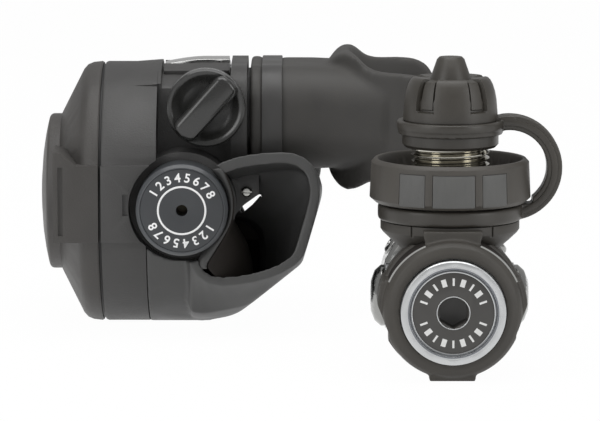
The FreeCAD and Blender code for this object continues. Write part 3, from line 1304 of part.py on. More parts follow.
def build():
    return {
        "second_stage_case": second_stage_case(), "top_plate": top_plate(), "front_cover": front_cover(),
        "cover_seal": cover_seal(), "cover_lock_screw": cover_lock_screw(), "purge_button": purge_button(),
        "purge_spring": purge_spring(), "diaphragm": diaphragm(), "diaphragm_disc": diaphragm_disc(),
        "demand_lever": demand_lever(), "valve_barrel": valve_barrel(), "poppet": poppet(),
        "poppet_seat": poppet_seat(), "poppet_spring": poppet_spring(), "orifice": orifice(),
        "inlet_fitting": inlet_fitting(), "inlet_seal": inlet_seal(), "adjusting_screw": adjusting_screw(),
        "adjusting_knob": adjusting_knob(), "knob_dial": knob_dial(), "airflow_knob": airflow_knob(),
        "airflow_vane": airflow_vane(), "exhaust_tee": exhaust_tee(), "tee_screws": tee_screws(),
        "exhaust_valve": exhaust_valve(), "mouthpiece": mouthpiece(),
        "mouthpiece_clamp": mouthpiece_clamp(),
        "first_stage_body": first_stage_body(), "seat_plug": seat_plug(), "seat_carrier": seat_carrier(),
        "pressure_seat": pressure_seat(), "stem_bushing": stem_bushing(), "piston": piston(),
        "piston_seal": piston_seal(),
        "piston_spring": piston_spring(), "side_port_plugs": side_port_plugs(),
        "rubber_boot": rubber_boot(),
        "saddle_collar": saddle_collar(), "swivel_turret": swivel_turret(),
        "lp_port_plugs": lp_port_plugs(),
        "turret_bolt": turret_bolt(), "din_retainer": din_retainer(), "din_filter": din_filter(),
        "din_coupling": din_coupling(), "din_face_seal": din_face_seal(), "din_handwheel": din_handwheel(),
        "handwheel_inlays": handwheel_inlays(), "dust_cap": dust_cap(), "cap_strap": cap_strap(),
    }


def frame_shift():
    """Brings the middle of the set's footprint to the origin."""
    x_low, x_high = purge_front_x, din_x + loop_x + loop_out_r
    y_low, y_high = stage_front_y, inlet_end_y()
    return Vec(-(x_low + x_high) / 2, -(y_low + y_high) / 2, 0)


def main():
    os.makedirs("parts", exist_ok=True)
    for name, shape in build().items():
        shape.translate(frame_shift())
        shape.exportStep("parts/" + name + ".step")


main()
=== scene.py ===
import bpy
import json
import math
from mathutils import Matrix, Vector


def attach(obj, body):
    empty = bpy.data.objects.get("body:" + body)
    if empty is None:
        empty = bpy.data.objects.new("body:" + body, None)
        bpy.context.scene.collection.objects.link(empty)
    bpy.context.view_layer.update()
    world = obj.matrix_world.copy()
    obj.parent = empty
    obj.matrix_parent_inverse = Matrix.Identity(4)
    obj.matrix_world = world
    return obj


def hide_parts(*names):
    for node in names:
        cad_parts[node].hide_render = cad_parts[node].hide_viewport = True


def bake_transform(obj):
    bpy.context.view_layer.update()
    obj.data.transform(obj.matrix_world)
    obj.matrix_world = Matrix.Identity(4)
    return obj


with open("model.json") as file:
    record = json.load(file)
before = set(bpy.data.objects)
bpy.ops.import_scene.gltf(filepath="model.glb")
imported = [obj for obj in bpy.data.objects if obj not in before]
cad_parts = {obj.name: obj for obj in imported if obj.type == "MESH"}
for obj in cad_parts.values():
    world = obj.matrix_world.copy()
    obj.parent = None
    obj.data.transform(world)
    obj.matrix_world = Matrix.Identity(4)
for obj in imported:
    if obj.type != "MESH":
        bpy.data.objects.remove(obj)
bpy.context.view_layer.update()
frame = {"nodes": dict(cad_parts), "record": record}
body_of_node = {node: name for name, nodes in frame["record"]["behaviour"]["bodies"].items()
                for node in nodes}
slot_of_node = {row["node"]: row["material_slot"] for row in frame["record"]["subparts"]}


# Places in the frame. The second stage's axes are level, and the first stage's inlet is upright.

MM = 0.001
MIDDLE = 31.6       # y of the second stage's middle plane, in millimetres


def at(x, y, z):
    """A place in the frame, from millimetres."""
    return Vector((x, y, z)) * MM


focus = at(2.225, MIDDLE, 33.9)
case_centre = at(2.225, MIDDLE, 40.3)
knob_centre = at(-33.575, MIDDLE, 40.3)
small_centre = at(-26.475, MIDDLE, 70.1)
inlet_centre = at(46.025, -53.4, 0.0)
loop_centre = at(63.125, -53.4, 58.75)
stage_axis = at(46.025, 0.0, 20.5)
stage_front = at(46.025, -84.4, 20.5)

along_case = (0, math.pi / 2, 0)
to_viewer = (math.pi / 2, 0, 0)


# Materials

def new_material(name):
    material = bpy.data.materials.new(name)
    material.use_nodes = True
    nodes, links = material.node_tree.nodes, material.node_tree.links
    return material, nodes, links, nodes["Principled BSDF"]


def grain(nodes, links, scale, detail, stretch=(1, 1, 1)):
    where = nodes.new("ShaderNodeTexCoord")
    mapping = nodes.new("ShaderNodeMapping")
    mapping.inputs["Scale"].default_value = stretch
    noise = nodes.new("ShaderNodeTexNoise")
    noise.inputs["Scale"].default_value = scale
    noise.inputs["Detail"].default_value = detail
    links.new(where.outputs["Object"], mapping.inputs["Vector"])
    links.new(mapping.outputs["Vector"], noise.inputs["Vector"])
    return noise.outputs["Fac"]


def sheen_range(nodes, links, source, low_value, high_value):
    node = nodes.new("ShaderNodeMapRange")
    node.inputs["From Min"].default_value = 0.35
    node.inputs["From Max"].default_value = 0.65
    node.inputs["To Min"].default_value = low_value
    node.inputs["To Max"].default_value = high_value
    links.new(source, node.inputs["Value"])
    return node.outputs["Result"]


def tint(nodes, links, source, first, second):
    node = nodes.new("ShaderNodeValToRGB")
    node.color_ramp.elements[0].position = 0.3
    node.color_ramp.elements[1].position = 0.7
    node.color_ramp.elements[0].color = (*first, 1)
    node.color_ramp.elements[1].color = (*second, 1)
    links.new(source, node.inputs["Fac"])
    return node.outputs["Color"]


def relief(nodes, links, source, strength, depth):
    rise = nodes.new("ShaderNodeBump")
    rise.inputs["Strength"].default_value = strength
    rise.inputs["Distance"].default_value = depth
    links.new(source, rise.inputs["Height"])
    return rise.outputs["Normal"]


def moulded(name, colour, roughness, grain_mm=0.5, bump=0.12, change=0.10, coat=0.0):
    """Moulded plastic or rubber: slow changes of tone, a fine skin texture and uneven sheen."""
    material, nodes, links, shader = new_material(name)
    cloud = grain(nodes, links, scale=90.0, detail=4.0)
    fine = grain(nodes, links, scale=1.0 / (grain_mm * MM), detail=2.0)
    darker = tuple(c * (1 - change) for c in colour)
    lighter = tuple(c * (1 + change) for c in colour)
    sheen = sheen_range(nodes, links, cloud, roughness - 0.05, roughness + 0.06)
    links.new(tint(nodes, links, cloud, darker, lighter), shader.inputs["Base Color"])
    links.new(sheen, shader.inputs["Roughness"])
    links.new(relief(nodes, links, fine, strength=bump, depth=0.2 * MM), shader.inputs["Normal"])
    shader.inputs["Coat Weight"].default_value = coat
    shader.inputs["Coat Roughness"].default_value = 0.18
    return material


def plated(name, colour, roughness, stretch=(1, 1, 1), scratches=600.0):
    """Plated or bare metal with fine machining marks."""
    material, nodes, links, shader = new_material(name)
    marks = grain(nodes, links, scale=scratches, detail=3.0, stretch=stretch)
    cloud = grain(nodes, links, scale=120.0, detail=2.0)
    darker = tuple(c * 0.94 for c in colour)
    sheen = sheen_range(nodes, links, marks, roughness * 0.9, roughness * 1.12)
    links.new(tint(nodes, links, cloud, darker, colour), shader.inputs["Base Color"])
    links.new(sheen, shader.inputs["Roughness"])
    links.new(relief(nodes, links, marks, strength=0.02, depth=0.05 * MM), shader.inputs["Normal"])
    shader.inputs["Metallic"].default_value = 1.0
    return material


# The finish of each material slot in the record
finish = {
    "case_black": moulded("case moulding", (0.045, 0.044, 0.043), 0.50, 0.45, 0.5),
    "cover_grey": moulded("cover moulding", (0.046, 0.043, 0.040), 0.50, 0.45, 0.5),
    "purge_black": moulded("purge button moulding", (0.056, 0.052, 0.049), 0.46, 0.5, 0.35),
    "knob_black": moulded("knob moulding", (0.052, 0.056, 0.061), 0.36, 0.5, 0.08, coat=0.1),
    "dial_print": moulded("dial face", (0.040, 0.043, 0.047), 0.42, 0.5, 0.06),
    "tee_rubber": moulded("tee moulding", (0.056, 0.056, 0.055), 0.48, 0.4),
    "mouth_rubber": moulded("mouthpiece silicone", (0.042, 0.040, 0.037), 0.60, 0.45, 0.18, 0.16),
    "clamp_black": moulded("clamp band", (0.046, 0.045, 0.044), 0.44, 0.5, 0.08),
    "soft_seal": moulded("seal rubber", (0.012, 0.012, 0.012), 0.5, 0.5, 0.05),
    "clear_silicone": moulded("valve silicone", (0.30, 0.30, 0.28), 0.4, 0.6, 0.05),
    "bare_steel": plated("bare steel", (0.44, 0.44, 0.42), 0.30, (1, 8, 1), 500.0),
    "chrome": plated("bright plating", (0.34, 0.34, 0.33), 0.14),
    "satin_chrome": plated("satin plating", (0.60, 0.61, 0.615), 0.30),
    "brass_inner": plated("machined brass", (0.62, 0.46, 0.22), 0.24),
    "black_metal": moulded("black plating", (0.046, 0.044, 0.041), 0.42, 0.6, 0.08, coat=0.08),
    "spring_steel": plated("spring wire", (0.5, 0.5, 0.5), 0.25),
    "boot_rubber": moulded("boot rubber", (0.041, 0.037, 0.031), 0.54, 0.45, 0.12, 0.14),
    "wheel_rubber": moulded("handwheel rubber", (0.051, 0.046, 0.039), 0.50),
    "inlay_grey": moulded("grey inlay", (0.084, 0.084, 0.081), 0.55, 0.35, 0.30),
    "cap_rubber": moulded("cap rubber", (0.039, 0.035, 0.029), 0.40, 0.5, 0.10, 0.12),
    "seat_plastic": moulded("seat plastic", (0.55, 0.55, 0.52), 0.45, 0.6, 0.05),
}

# Finishes of single pieces
thread_steel = plated("thread steel", (0.58, 0.56, 0.50), 0.15, (1, 1, 6), 700.0)
plate_steel = plated("plate steel", (0.74, 0.74, 0.73), 0.14, (1, 8, 1), 500.0)
screw_dark = plated("darkened brass", (0.05, 0.045, 0.035), 0.35)
# Painted shade: a dark grey for lines of shadow in the plug's grooves
painted_groove_shade = plated("groove shadow", (0.22, 0.23, 0.25), 0.35)
knob_gloss = moulded("small knob moulding", (0.013, 0.013, 0.012), 0.24, 0.5, 0.04, coat=0.5)
print_white = moulded("white print", (0.86, 0.86, 0.86), 0.5, 0.4, 0.04, 0.03)
print_grey = moulded("pale print", (0.66, 0.66, 0.65), 0.5, 0.4, 0.04, 0.05)
# Painted shade: a near-black with little sheen, for the duct's insides, its rib and far plate, and the
# boot's windows
painted_shade_dark = moulded("painted duct shade", (0.016, 0.013, 0.011), 0.70, 0.4, 0.05)
painted_shade_dark.node_tree.nodes["Principled BSDF"].inputs["Specular IOR Level"].default_value = 0.25


# Bench work that every piece shares

def only(piece):
    """Selects this object alone and makes it the active one."""
    for other in bpy.context.selected_objects:
        other.select_set(False)
    piece.select_set(True)
    bpy.context.view_layer.objects.active = piece


def edit_all():
    """Opens the active mesh in edit mode with all of it selected."""
    bpy.ops.object.mode_set(mode="EDIT")
    bpy.ops.mesh.select_all(action="SELECT")


def fill_open_edges(most_sides):
    """Closes the openings of the mesh that is open in edit mode."""
    bpy.ops.mesh.select_all(action="DESELECT")
    bpy.ops.mesh.select_non_manifold()
    bpy.ops.mesh.fill_holes(sides=most_sides)


def break_edges(piece, width_mm, segments, degrees):
    bevel = piece.modifiers.new("broken edges", "BEVEL")
    bevel.width = width_mm * MM
    bevel.segments = segments
    bevel.limit_method = "ANGLE"
    bevel.angle_limit = math.radians(degrees)


def apply_modifiers(piece):
    only(piece)
    for modifier in list(piece.modifiers):
        bpy.ops.object.modifier_apply(modifier=modifier.name)


def settle(piece):
    """Puts the object's place into its mesh."""
    only(piece)
    bpy.ops.object.transform_apply(location=True, rotation=True, scale=True)


def smooth_up_to(piece, degrees):
    only(piece)
    bpy.ops.object.shade_smooth_by_angle(angle=math.radians(degrees))


def join_all(pieces, name):
    only(pieces[0])
    for piece in pieces[1:]:
        piece.select_set(True)
    bpy.ops.object.join()
    whole = bpy.context.object
    whole.name = name
    return whole


def paint(piece, material):
    piece.data.materials.clear()
    piece.data.materials.append(material)


def mount(piece, name, material, body, slot_name, node=None):
    """Names and paints a finished piece, and sets it on its body, in place of a node if one is given."""
    piece.name = name
    piece.data.name = name
    paint(piece, material)
    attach(piece, body)
    if node:
        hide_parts(node)


def finish_mesh(piece, centre, turn, name, edge_mm=0.0, start=0.0):
    """Merges points, turns faces outward, breaks the edges and puts the piece in its place."""
    edit_all()
    bpy.ops.mesh.remove_doubles(threshold=0.000002)
    bpy.ops.mesh.normals_make_consistent(inside=False)
    bpy.ops.object.mode_set(mode="OBJECT")
    if edge_mm:
        break_edges(piece, edge_mm, 3, 25)
    apply_modifiers(piece)
    if start:
        piece.rotation_euler = (0, 0, math.radians(start))
        settle(piece)
    piece.location = centre
    piece.rotation_euler = turn
    settle(piece)
    smooth_up_to(piece, 40)
    piece.name = name
    return piece


# Copies of frame pieces

def merged_copy(node, name):
    """A copy of a frame piece with its loose triangles joined into one skin."""
    source = frame["nodes"][node]
    piece = source.copy()
    piece.data = source.data.copy()
    piece.parent = None
    piece.hide_render = False
    for key in list(piece.keys()):
        del piece[key]
    bpy.context.scene.collection.objects.link(piece)
    piece.name = name
    only(piece)
    edit_all()
    bpy.ops.mesh.remove_doubles(threshold=0.000004)
    bpy.ops.mesh.customdata_custom_splitnormals_clear()
    bpy.ops.object.mode_set(mode="OBJECT")
    return piece


def edged(node, width_mm):
    """The frame piece with its sharp edges broken, as machined and moulded parts have them."""
    piece = merged_copy(node, node + "_dressed")
    edit_all()
    bpy.ops.mesh.dissolve_limited(angle_limit=math.radians(0.6))
    bpy.ops.object.mode_set(mode="OBJECT")
    break_edges(piece, width_mm, 2, 32)
    apply_modifiers(piece)
    smooth_up_to(piece, 32)
    mount(piece, piece.name, finish[slot_of_node[node]], body_of_node[node], slot_of_node[node], node)


def softened(node, voxel_mm, rounds, name):
    """The frame piece as soft rubber: one even skin whose edges are rounded by smoothing."""
    piece = merged_copy(node, name)
    remesh = piece.modifiers.new("skin", "REMESH")
    remesh.mode = "VOXEL"
    remesh.voxel_size = voxel_mm * MM
    smooth = piece.modifiers.new("soft edges", "SMOOTH")
    smooth.factor = 0.5
    smooth.iterations = rounds
    apply_modifiers(piece)
    bpy.ops.object.shade_smooth()
    return piece


def press_back(piece, outward, limit_mm, slope, wall_mm):
    """Presses a side that faces outward, a direction in XZ, back to a limit that slopes off from the middle
    plane. The inner skin is kept a wall's thickness behind it, and both run in softly."""
    run_in, full_facing = 1.0, 0.6
    normals = [vertex.normal.copy() for vertex in piece.data.vertices]
    for vertex, normal in zip(piece.data.vertices, normals):
        reach = (vertex.co.x * outward[0] + vertex.co.z * outward[1]) / MM
        limit = limit_mm + slope * abs(vertex.co.y / MM - MIDDLE)
        facing = normal.x * outward[0] + normal.z * outward[1]
        outer_share = min(max(0.5 + facing / (2 * full_facing), 0.0), 1.0)
        limit -= wall_mm * (1 - outer_share)
        near = max(run_in - abs(reach - limit), 0.0)
        move = (min(reach, limit) - near * near / (4 * run_in) - reach) * MM
        vertex.co.x += outward[0] * move
        vertex.co.z += outward[1] * move


# New pieces. Their profiles are (radius, station) pairs, and all their sizes are in millimetres.

def turned_piece(profile, centre, name, turn=(0, 0, 0), sides=128, edge_mm=0.0, ring=True):
    """A lathe piece drawn ring by ring. The last ring meets the first, or else a face closes each end."""
    radius, station = profile[0]
    bpy.ops.mesh.primitive_circle_add(vertices=sides, radius=radius * MM, location=(0, 0, station * MM),
                                      fill_type="NOTHING" if ring else "NGON")
    piece = bpy.context.object
    settle(piece)
    edit_all()
    for wide, tall in profile[1:] + (profile[:1] if ring else []):
        bpy.ops.mesh.extrude_edges_move(TRANSFORM_OT_translate={"value": (0, 0, (tall - station) * MM)})
        bpy.ops.transform.resize(value=(wide / radius, wide / radius, 1), center_override=(0, 0, tall * MM))
        radius, station = wide, tall
    if not ring:
        bpy.ops.mesh.edge_face_add()
    return finish_mesh(piece, centre, turn, name, edge_mm)


def flat_face(points, name):
    """One face through points in the XZ plane."""
    bpy.ops.mesh.primitive_circle_add(vertices=len(points), radius=0.01, location=(0, 0, 0),
                                      fill_type="NGON")
    piece = bpy.context.object
    for vertex, (across, up) in zip(piece.data.vertices, points):
        vertex.co = (across * MM, 0, up * MM)
    piece.name = name
    only(piece)
    return piece


def plate_piece(points, near_y, far_y, name, edge_mm=0.3):
    """A plate whose outline lies in the XZ plane, from near_y to far_y."""
    piece = flat_face(points, name)
    edit_all()
    bpy.ops.mesh.extrude_region_move(TRANSFORM_OT_translate={"value": (0, (far_y - near_y) * MM, 0)})
    return finish_mesh(piece, (0, near_y * MM, 0), (0, 0, 0), name, edge_mm)


def swept_piece(profile, centre, turn, start, degrees, steps, name, edge_mm=0.0):
    """A closed profile swept round an axis from a start angle by some degrees."""
    piece = flat_face(profile, name)
    edit_all()
    bpy.ops.mesh.delete(type="ONLY_FACE")
    bpy.ops.object.mode_set(mode="OBJECT")
    screw = piece.modifiers.new("sweep", "SCREW")
    screw.axis = "Z"
    screw.angle = math.radians(degrees)
    screw.screw_offset = 0
    screw.steps = steps
    screw.render_steps = steps
    apply_modifiers(piece)
    bpy.ops.object.mode_set(mode="EDIT")
    fill_open_edges(len(profile) + 1)
    return finish_mesh(piece, centre, turn, name, edge_mm, start)


def mirrored_skin(rows, thick_mm, name):
    """A rounded wall through rows of points, and its mirror image across the middle plane, as one mesh."""
    across, along = len(rows[0]), len(rows)
    bpy.ops.mesh.primitive_grid_add(x_subdivisions=across - 1, y_subdivisions=along - 1, size=0.02,
                                    location=(0, 0, 0))
    piece = bpy.context.object
    points = [Vector(point) * MM for row in rows for point in row]
    for vertex, point in zip(piece.data.vertices, points):
        vertex.co = point
    wall = piece.modifiers.new("wall", "SOLIDIFY")
    wall.thickness = thick_mm * MM
    wall.offset = 0
    rounding = piece.modifiers.new("round", "SUBSURF")
    rounding.levels = 2
    rounding.render_levels = 2
    apply_modifiers(piece)
    finish_mesh(piece, (0, 0, 0), (0, 0, 0), name)

    middle = bpy.data.objects.new("middle", None)
    middle.location = at(0, MIDDLE, 0)
    bpy.context.scene.collection.objects.link(middle)
    bpy.context.view_layer.update()
    mirror = piece.modifiers.new("far side", "MIRROR")
    mirror.use_axis = (False, True, False)
    mirror.mirror_object = middle
    apply_modifiers(piece)
    bpy.data.objects.remove(middle)
    edit_all()
    bpy.ops.mesh.normals_make_consistent(inside=False)
    bpy.ops.object.mode_set(mode="OBJECT")
    return piece


def flat_ring(radius, width, thick, centre, name):
    """A thin turned ring that faces the viewer, rounded like print or the land of a groove."""
    turns = [2 * math.pi * step / 10 for step in range(10)]
    section = [(radius + width / 2 * math.cos(turn), thick / 2 * math.sin(turn)) for turn in turns]
    ring = turned_piece(section, centre, name, to_viewer)
    bpy.ops.object.shade_smooth(keep_sharp_edges=False)
    return ring


def place_on_circle(centre, radius, angle):
    """Where a mark goes that stands on a circle round the centre and faces the viewer."""
    face = Matrix.Rotation(math.pi / 2, 4, "X")
    out = Matrix.Translation(Vector((math.cos(angle), math.sin(angle), 0)) * radius * MM)
    lean = Matrix.Rotation(angle - math.pi / 2, 4, "Z")
    return Matrix.Translation(centre) @ face @ out @ lean


# Plain finish for every frame piece; those that show get a dressed copy with broken edges

for node, piece in frame["nodes"].items():
    paint(piece, finish[slot_of_node[node]])
paint(frame["nodes"]["adjusting_screw"], screw_dark)

broken_edge_mm = {
    "second_stage_case": 0.35, "front_cover": 0.35, "purge_button": 0.4, "top_plate": 0.1,
    "cover_seal": 0.1, "inlet_fitting": 0.15, "mouthpiece_clamp": 0.3, "first_stage_body": 0.2,
    "seat_plug": 0.15, "side_port_plugs": 0.2, "saddle_collar": 0.25, "swivel_turret": 0.2,
    "lp_port_plugs": 0.2, "turret_bolt": 0.2, "din_handwheel": 0.4, "handwheel_inlays": 0.2,
    "tee_screws": 0.1, "cover_lock_screw": 0.1,
}
for node, width in broken_edge_mm.items():
    edged(node, width)


# Case: the flange at the mouthpiece is lower than the frame's

flange_near, flange_far, flange_foot, flange_share = -19.3 * MM, -14.0 * MM, 78 * MM, 0.74
for vertex in bpy.data.objects["second_stage_case_dressed"].data.vertices:
    if flange_near < vertex.co.x < flange_far and vertex.co.z > flange_foot:
        vertex.co.z = flange_foot + (vertex.co.z - flange_foot) * flange_share


# Bare plate on top of the case: polished, and bowed up

top_turn = 180.0        # where a sweep along the case stands on top, in degrees
paint(bpy.data.objects["top_plate_dressed"], plate_steel)
plate_foot, plate_r, plate_rise = 39.0, 40.7, 1.6
plate_near, plate_far, bow_pitch, bow_steps = -42.0, -22.0, 1.3, 10
bow = [(plate_r + plate_rise * math.sin(math.pi / 2 * step / bow_steps), plate_near + bow_pitch * step)
       for step in range(bow_steps + 1)]
crown_profile = [(plate_foot, plate_near)] + bow
crown_profile += [(plate_r + plate_rise, plate_far), (plate_foot, plate_far)]
crown = swept_piece(crown_profile, case_centre, along_case, top_turn - 7.4, 14.8, 12, "plate_crown", 0.15)
mount(crown, "plate_crown", plate_steel, "second_stage", "bare_steel")


# Band of the case: its corner over the pocket, its hood, and the lips that border the bare plate

corner_profile = [(27.0, -52.0), (40.72, -52.0), (40.72, -43.95), (27.0, -43.95)]
hood_profile = [(27.0, -52.0), (40.66, -52.0), (41.24, -43.95), (27.0, -43.95)]
lip_profile = [(39.0, -42.2), (41.0, -42.2), (41.1, -21.9), (39.0, -21.9)]
corner = swept_piece(corner_profile, case_centre, along_case, top_turn + 30.0, 33.0, 24, "band_corner")
hood = swept_piece(hood_profile, case_centre, along_case, top_turn + 17.0, 13.0, 10, "hood_corner")
near_lip = swept_piece(lip_profile, case_centre, along_case, top_turn + 7.2, 10.3, 8, "near_lip", 0.15)
far_lip = swept_piece(lip_profile, case_centre, along_case, top_turn - 17.5, 10.3, 8, "far_lip", 0.15)
band = join_all([corner, hood, near_lip, far_lip], "band_corner")
mount(band, "band_corner", finish["case_black"], "second_stage", "case_black")


# Mouthpiece and exhaust tee. The tee's lower right corner and its right side are pressed back.

mouthpiece = softened("mouthpiece", 0.7, 14, "mouthpiece_silicone")
mount(mouthpiece, "mouthpiece_silicone", finish["mouth_rubber"], "second_stage", "mouth_rubber",
      "mouthpiece")
tee = softened("exhaust_tee", 0.55, 5, "exhaust_tee_moulding")
corner_out, side_out = (0.629, -0.777), (0.96, -0.28)
press_back(tee, corner_out, limit_mm=-11.9, slope=-0.108, wall_mm=1.2)
press_back(tee, side_out, limit_mm=-2.17, slope=-0.0387, wall_mm=3.2)
mount(tee, "exhaust_tee_moulding", finish["tee_rubber"], "second_stage", "tee_rubber", "exhaust_tee")

# Each horn's inner side: a lip rolled over from its outer to its inner line, and a cheek behind it.
# The y values count from the middle plane.
lip_out = [(-25.3, 52.2), (-22.5, 49.7), (-20.5, 46.4), (-19.3, 42.8), (-19.2, 39.0), (-20.0, 35.3),
           (-21.9, 32.0), (-25.2, 29.2), (-27.6, 26.6), (-29.2, 23.8), (-28.2, 21.6)]
lip_in = [(-21.3, 53.0), (-20.0, 49.6), (-18.6, 46.0), (-18.0, 42.8), (-18.1, 39.0), (-18.8, 35.8),
          (-20.4, 32.4), (-22.7, 28.6), (-25.0, 25.0), (-26.4, 22.6), (-25.6, 21.6)]
cheek_in = lip_in[:-1] + [(-26.6, 18.2)]
deep_in = [(-21.4, 52.6), (-20.4, 49.0), (-19.4, 45.0), (-19.2, 42.0), (-19.0, 38.6), (-18.8, 35.0),
           (-16.8, 31.0), (-14.2, 27.0), (-12.8, 21.0), (-12.4, 15.0), (-12.4, 8.0)]
deep_y = [-27.0, -27.0, -27.0, -26.5, -26.0, -24.0, -22.0, -21.0, -21.0, -21.0, -21.0]
lip_out_y, lip_top_y, lip_in_y, cheek_y = -39.4, -41.2, -41.0, -40.4
top_share, cheek_steps = 0.45, 6
rows = [[(x, MIDDLE + lip_out_y, z) for x, z in lip_out],
        [(x0 * (1 - top_share) + x1 * top_share, MIDDLE + lip_top_y, z0 * (1 - top_share) + z1 * top_share)
         for (x0, z0), (x1, z1) in zip(lip_out, lip_in)],
        [(x, MIDDLE + lip_in_y, z) for x, z in lip_in]]
for step in range(1, cheek_steps + 1):
    part = math.pi / 2 * step / cheek_steps
    share, sink = math.sin(part), 1 - math.cos(part)
    rows.append([(x0 + (x1 - x0) * share, MIDDLE + cheek_y + (y1 - cheek_y) * sink, z0 + (z1 - z0) * sink)
                 for (x0, z0), (x1, z1), y1 in zip(cheek_in, deep_in, deep_y)])
lips = mirrored_skin(rows[:3], 1.0, "tee_lips")
mount(lips, "tee_lips", finish["tee_rubber"], "second_stage", "tee_rubber")
# The cheeks are painted shade: near-black, for the dark inside of the duct
cheeks = mirrored_skin(rows[2:], 1.0, "tee_cheeks")
mount(cheeks, "tee_cheeks", painted_shade_dark, "second_stage", "tee_rubber")

# The rib between the horns, and a plate on the far horn's wall behind it, both painted near-black as shade
# in the duct
rib_outline = [(-18.4, 29.9), (-18.4, 31.2), (-16.4, 31.6), (-10.2, 38.6), (-9.0, 36.6), (-8.4, 24.6),
               (-17.2, 24.6), (-17.2, 29.9)]
far_shade_outline = [(-13.8, 11.0), (-10.5, 11.0), (-10.5, 25.6), (-13.8, 25.6)]
rib = plate_piece(rib_outline, MIDDLE - 1, MIDDLE + 1, "tee_rib")
far_wall_shade = plate_piece(far_shade_outline, 49.2, 50.4, "far_wall_shade")
mount(join_all([rib, far_wall_shade], "tee_rib"), "tee_rib", painted_shade_dark, "second_stage", "tee_rubber")


# Boot: its flanks slope in to the round, and a window on each side shows the front ring's edge; the windows
# are near-black patches of painted shade

flank_low, flank_high = (18.2 * MM, 13.6 * MM), (21.75 * MM, 22.2 * MM)     # half width and height
flank_slope = (flank_high[0] - flank_low[0]) / (flank_high[1] - flank_low[1])
flank_foot = 10.0 * MM
boot = softened("rubber_boot", 0.4, 6, "boot_rubber")
for vertex in boot.data.vertices:
    out, height = vertex.co.x - inlet_centre.x, vertex.co.z
    limit = flank_low[0] + (height - flank_low[1]) * flank_slope
    if flank_foot < height < flank_high[1] and abs(out) > limit:
        vertex.co.x = inlet_centre.x + math.copysign(min(abs(out), max(limit, flank_low[0])), out)
mount(boot, "boot_moulding", finish["boot_rubber"], "first_stage", "boot_rubber", "rubber_boot")

window_profile = [(19.6, 69.0), (20.28, 69.0), (20.28, 78.6), (19.6, 78.6)]
edge_profile = [(19.9, 78.6), (20.36, 78.6), (20.36, 78.78), (19.9, 78.78)]
window_starts, window_turn = (24.0, 113.0), 43.0        # degrees
windows, edges = [], []
for start in window_starts:
    windows.append(swept_piece(window_profile, stage_axis, to_viewer, start, window_turn, 24, "boot_window"))
    edges.append(swept_piece(edge_profile, stage_axis, to_viewer, start, window_turn, 24, "window_edge"))
mount(join_all(windows, "boot_window_shade"), "boot_window_shade", painted_shade_dark, "first_stage", "boot_rubber")
mount(join_all(edges, "window_edges"), "window_edges", finish["chrome"], "first_stage", "chrome")


# Dust cap: turned, with a dent pressed in between each two of its five ribs

cap_profile = [(11.6, 79.5), (12.1, 78.5), (12.1, 64.8), (13.2, 64.8), (14.05, 65.7), (14.05, 68.45),
               (13.3, 68.45), (13.3, 72.75), (13.75, 72.75), (13.75, 73.9), (13.65, 75.6), (13.60, 76.0),
               (13.56, 76.6), (13.4, 78.5), (12.95, 81.0), (12.3, 83.0), (11.6, 84.3), (10.9, 85.0),
               (10.2, 85.2), (6.0, 84.6), (4.0, 90.3), (3.3, 91.0)]
dent_foot, dent_top, shoulder = 75.8, 85.3, 84.9        # heights
nose_r, bore_r, bore_top = 10.0, 12.2, 80.0             # inside these, the cap has no dents
rib_turn, rib_half, crease_turn = 72.0, 23.5, 3.0       # degrees
dent_depth, crease_depth, shoulder_drop = 1.1, 0.9, 0.5
cap = turned_piece(cap_profile, inlet_centre, "dust_cap_moulding", sides=240, ring=False)
for vertex in cap.data.vertices:
    offset = Vector((vertex.co.x - inlet_centre.x, vertex.co.y - inlet_centre.y))
    height = vertex.co.z / MM
    in_bore = offset.length < bore_r * MM and height < bore_top
    if offset.length < nose_r * MM or in_bore or not dent_foot < height < dent_top:
        continue
    angle = (math.degrees(math.atan2(offset.y, offset.x)) + 90.0 + rib_turn / 2) % rib_turn - rib_turn / 2
    if abs(angle) > rib_half:
        crease = abs(angle) < rib_half + crease_turn or height < dent_foot + 0.5
        offset.length -= (dent_depth + (crease_depth if crease else 0.0)) * MM
        vertex.co.x, vertex.co.y = inlet_centre.x + offset.x, inlet_centre.y + offset.y
        if height > shoulder:
            vertex.co.z -= shoulder_drop * MM
smooth_up_to(cap, 30)
mount(cap, "dust_cap_moulding", finish["cap_rubber"], "dust_cap", "cap_rubber", "dust_cap")


# Cap strap: rubber loop with a raised band, and its root at the cap's ring

raised_profile = [(12.1, 3.0), (12.4, 3.7), (12.8, 3.85), (13.7, 3.85), (14.1, 3.7), (14.4, 3.0)]
root_outline = [(57.8, 69.4), (57.8, 73.3), (59.6, 73.7), (62.0, 74.1), (65.0, 74.0), (65.0, 70.2)]
strap = softened("cap_strap", 0.35, 8, "cap_strap_moulding")
raised = swept_piece(raised_profile, loop_centre, to_viewer, -92.0, 196.0, 70, "strap_band")
root = plate_piece(root_outline, -56.9, -49.9, "strap_root", 0.5)
strap = join_all([strap, raised, root], "cap_strap_moulding")
paint(strap, finish["cap_rubber"])
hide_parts("cap_strap")
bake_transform(strap)


# Adjusting knob: turned, with a sunk dial and a small hole for its pin

knob_profile = [(1.75, 45.5), (12.7, 45.5), (12.7, 46.0), (13.0, 46.0), (14.0, 44.9), (14.0, 33.8),
                (12.0, 33.8), (12.0, 42.0), (5.2, 42.0), (5.2, 34.3), (3.0, 34.3), (3.0, 37.0), (1.75, 37.0)]
dial_profile = [(1.75, 45.52), (12.6, 45.52), (12.6, 45.9), (1.75, 45.9)]
knob = turned_piece(knob_profile, knob_centre, "adjusting_knob_turned", to_viewer, edge_mm=0.2)
mount(knob, "adjusting_knob_turned", finish["knob_black"], "adjusting_knob", "knob_black", "adjusting_knob")
dial = turned_piece(dial_profile, knob_centre, "dial_face", to_viewer, edge_mm=0.1)
mount(dial, "dial_face", finish["dial_print"], "adjusting_knob", "dial_print", "knob_dial")


# Small knob: a dished disc with a rounded grip that leans across it

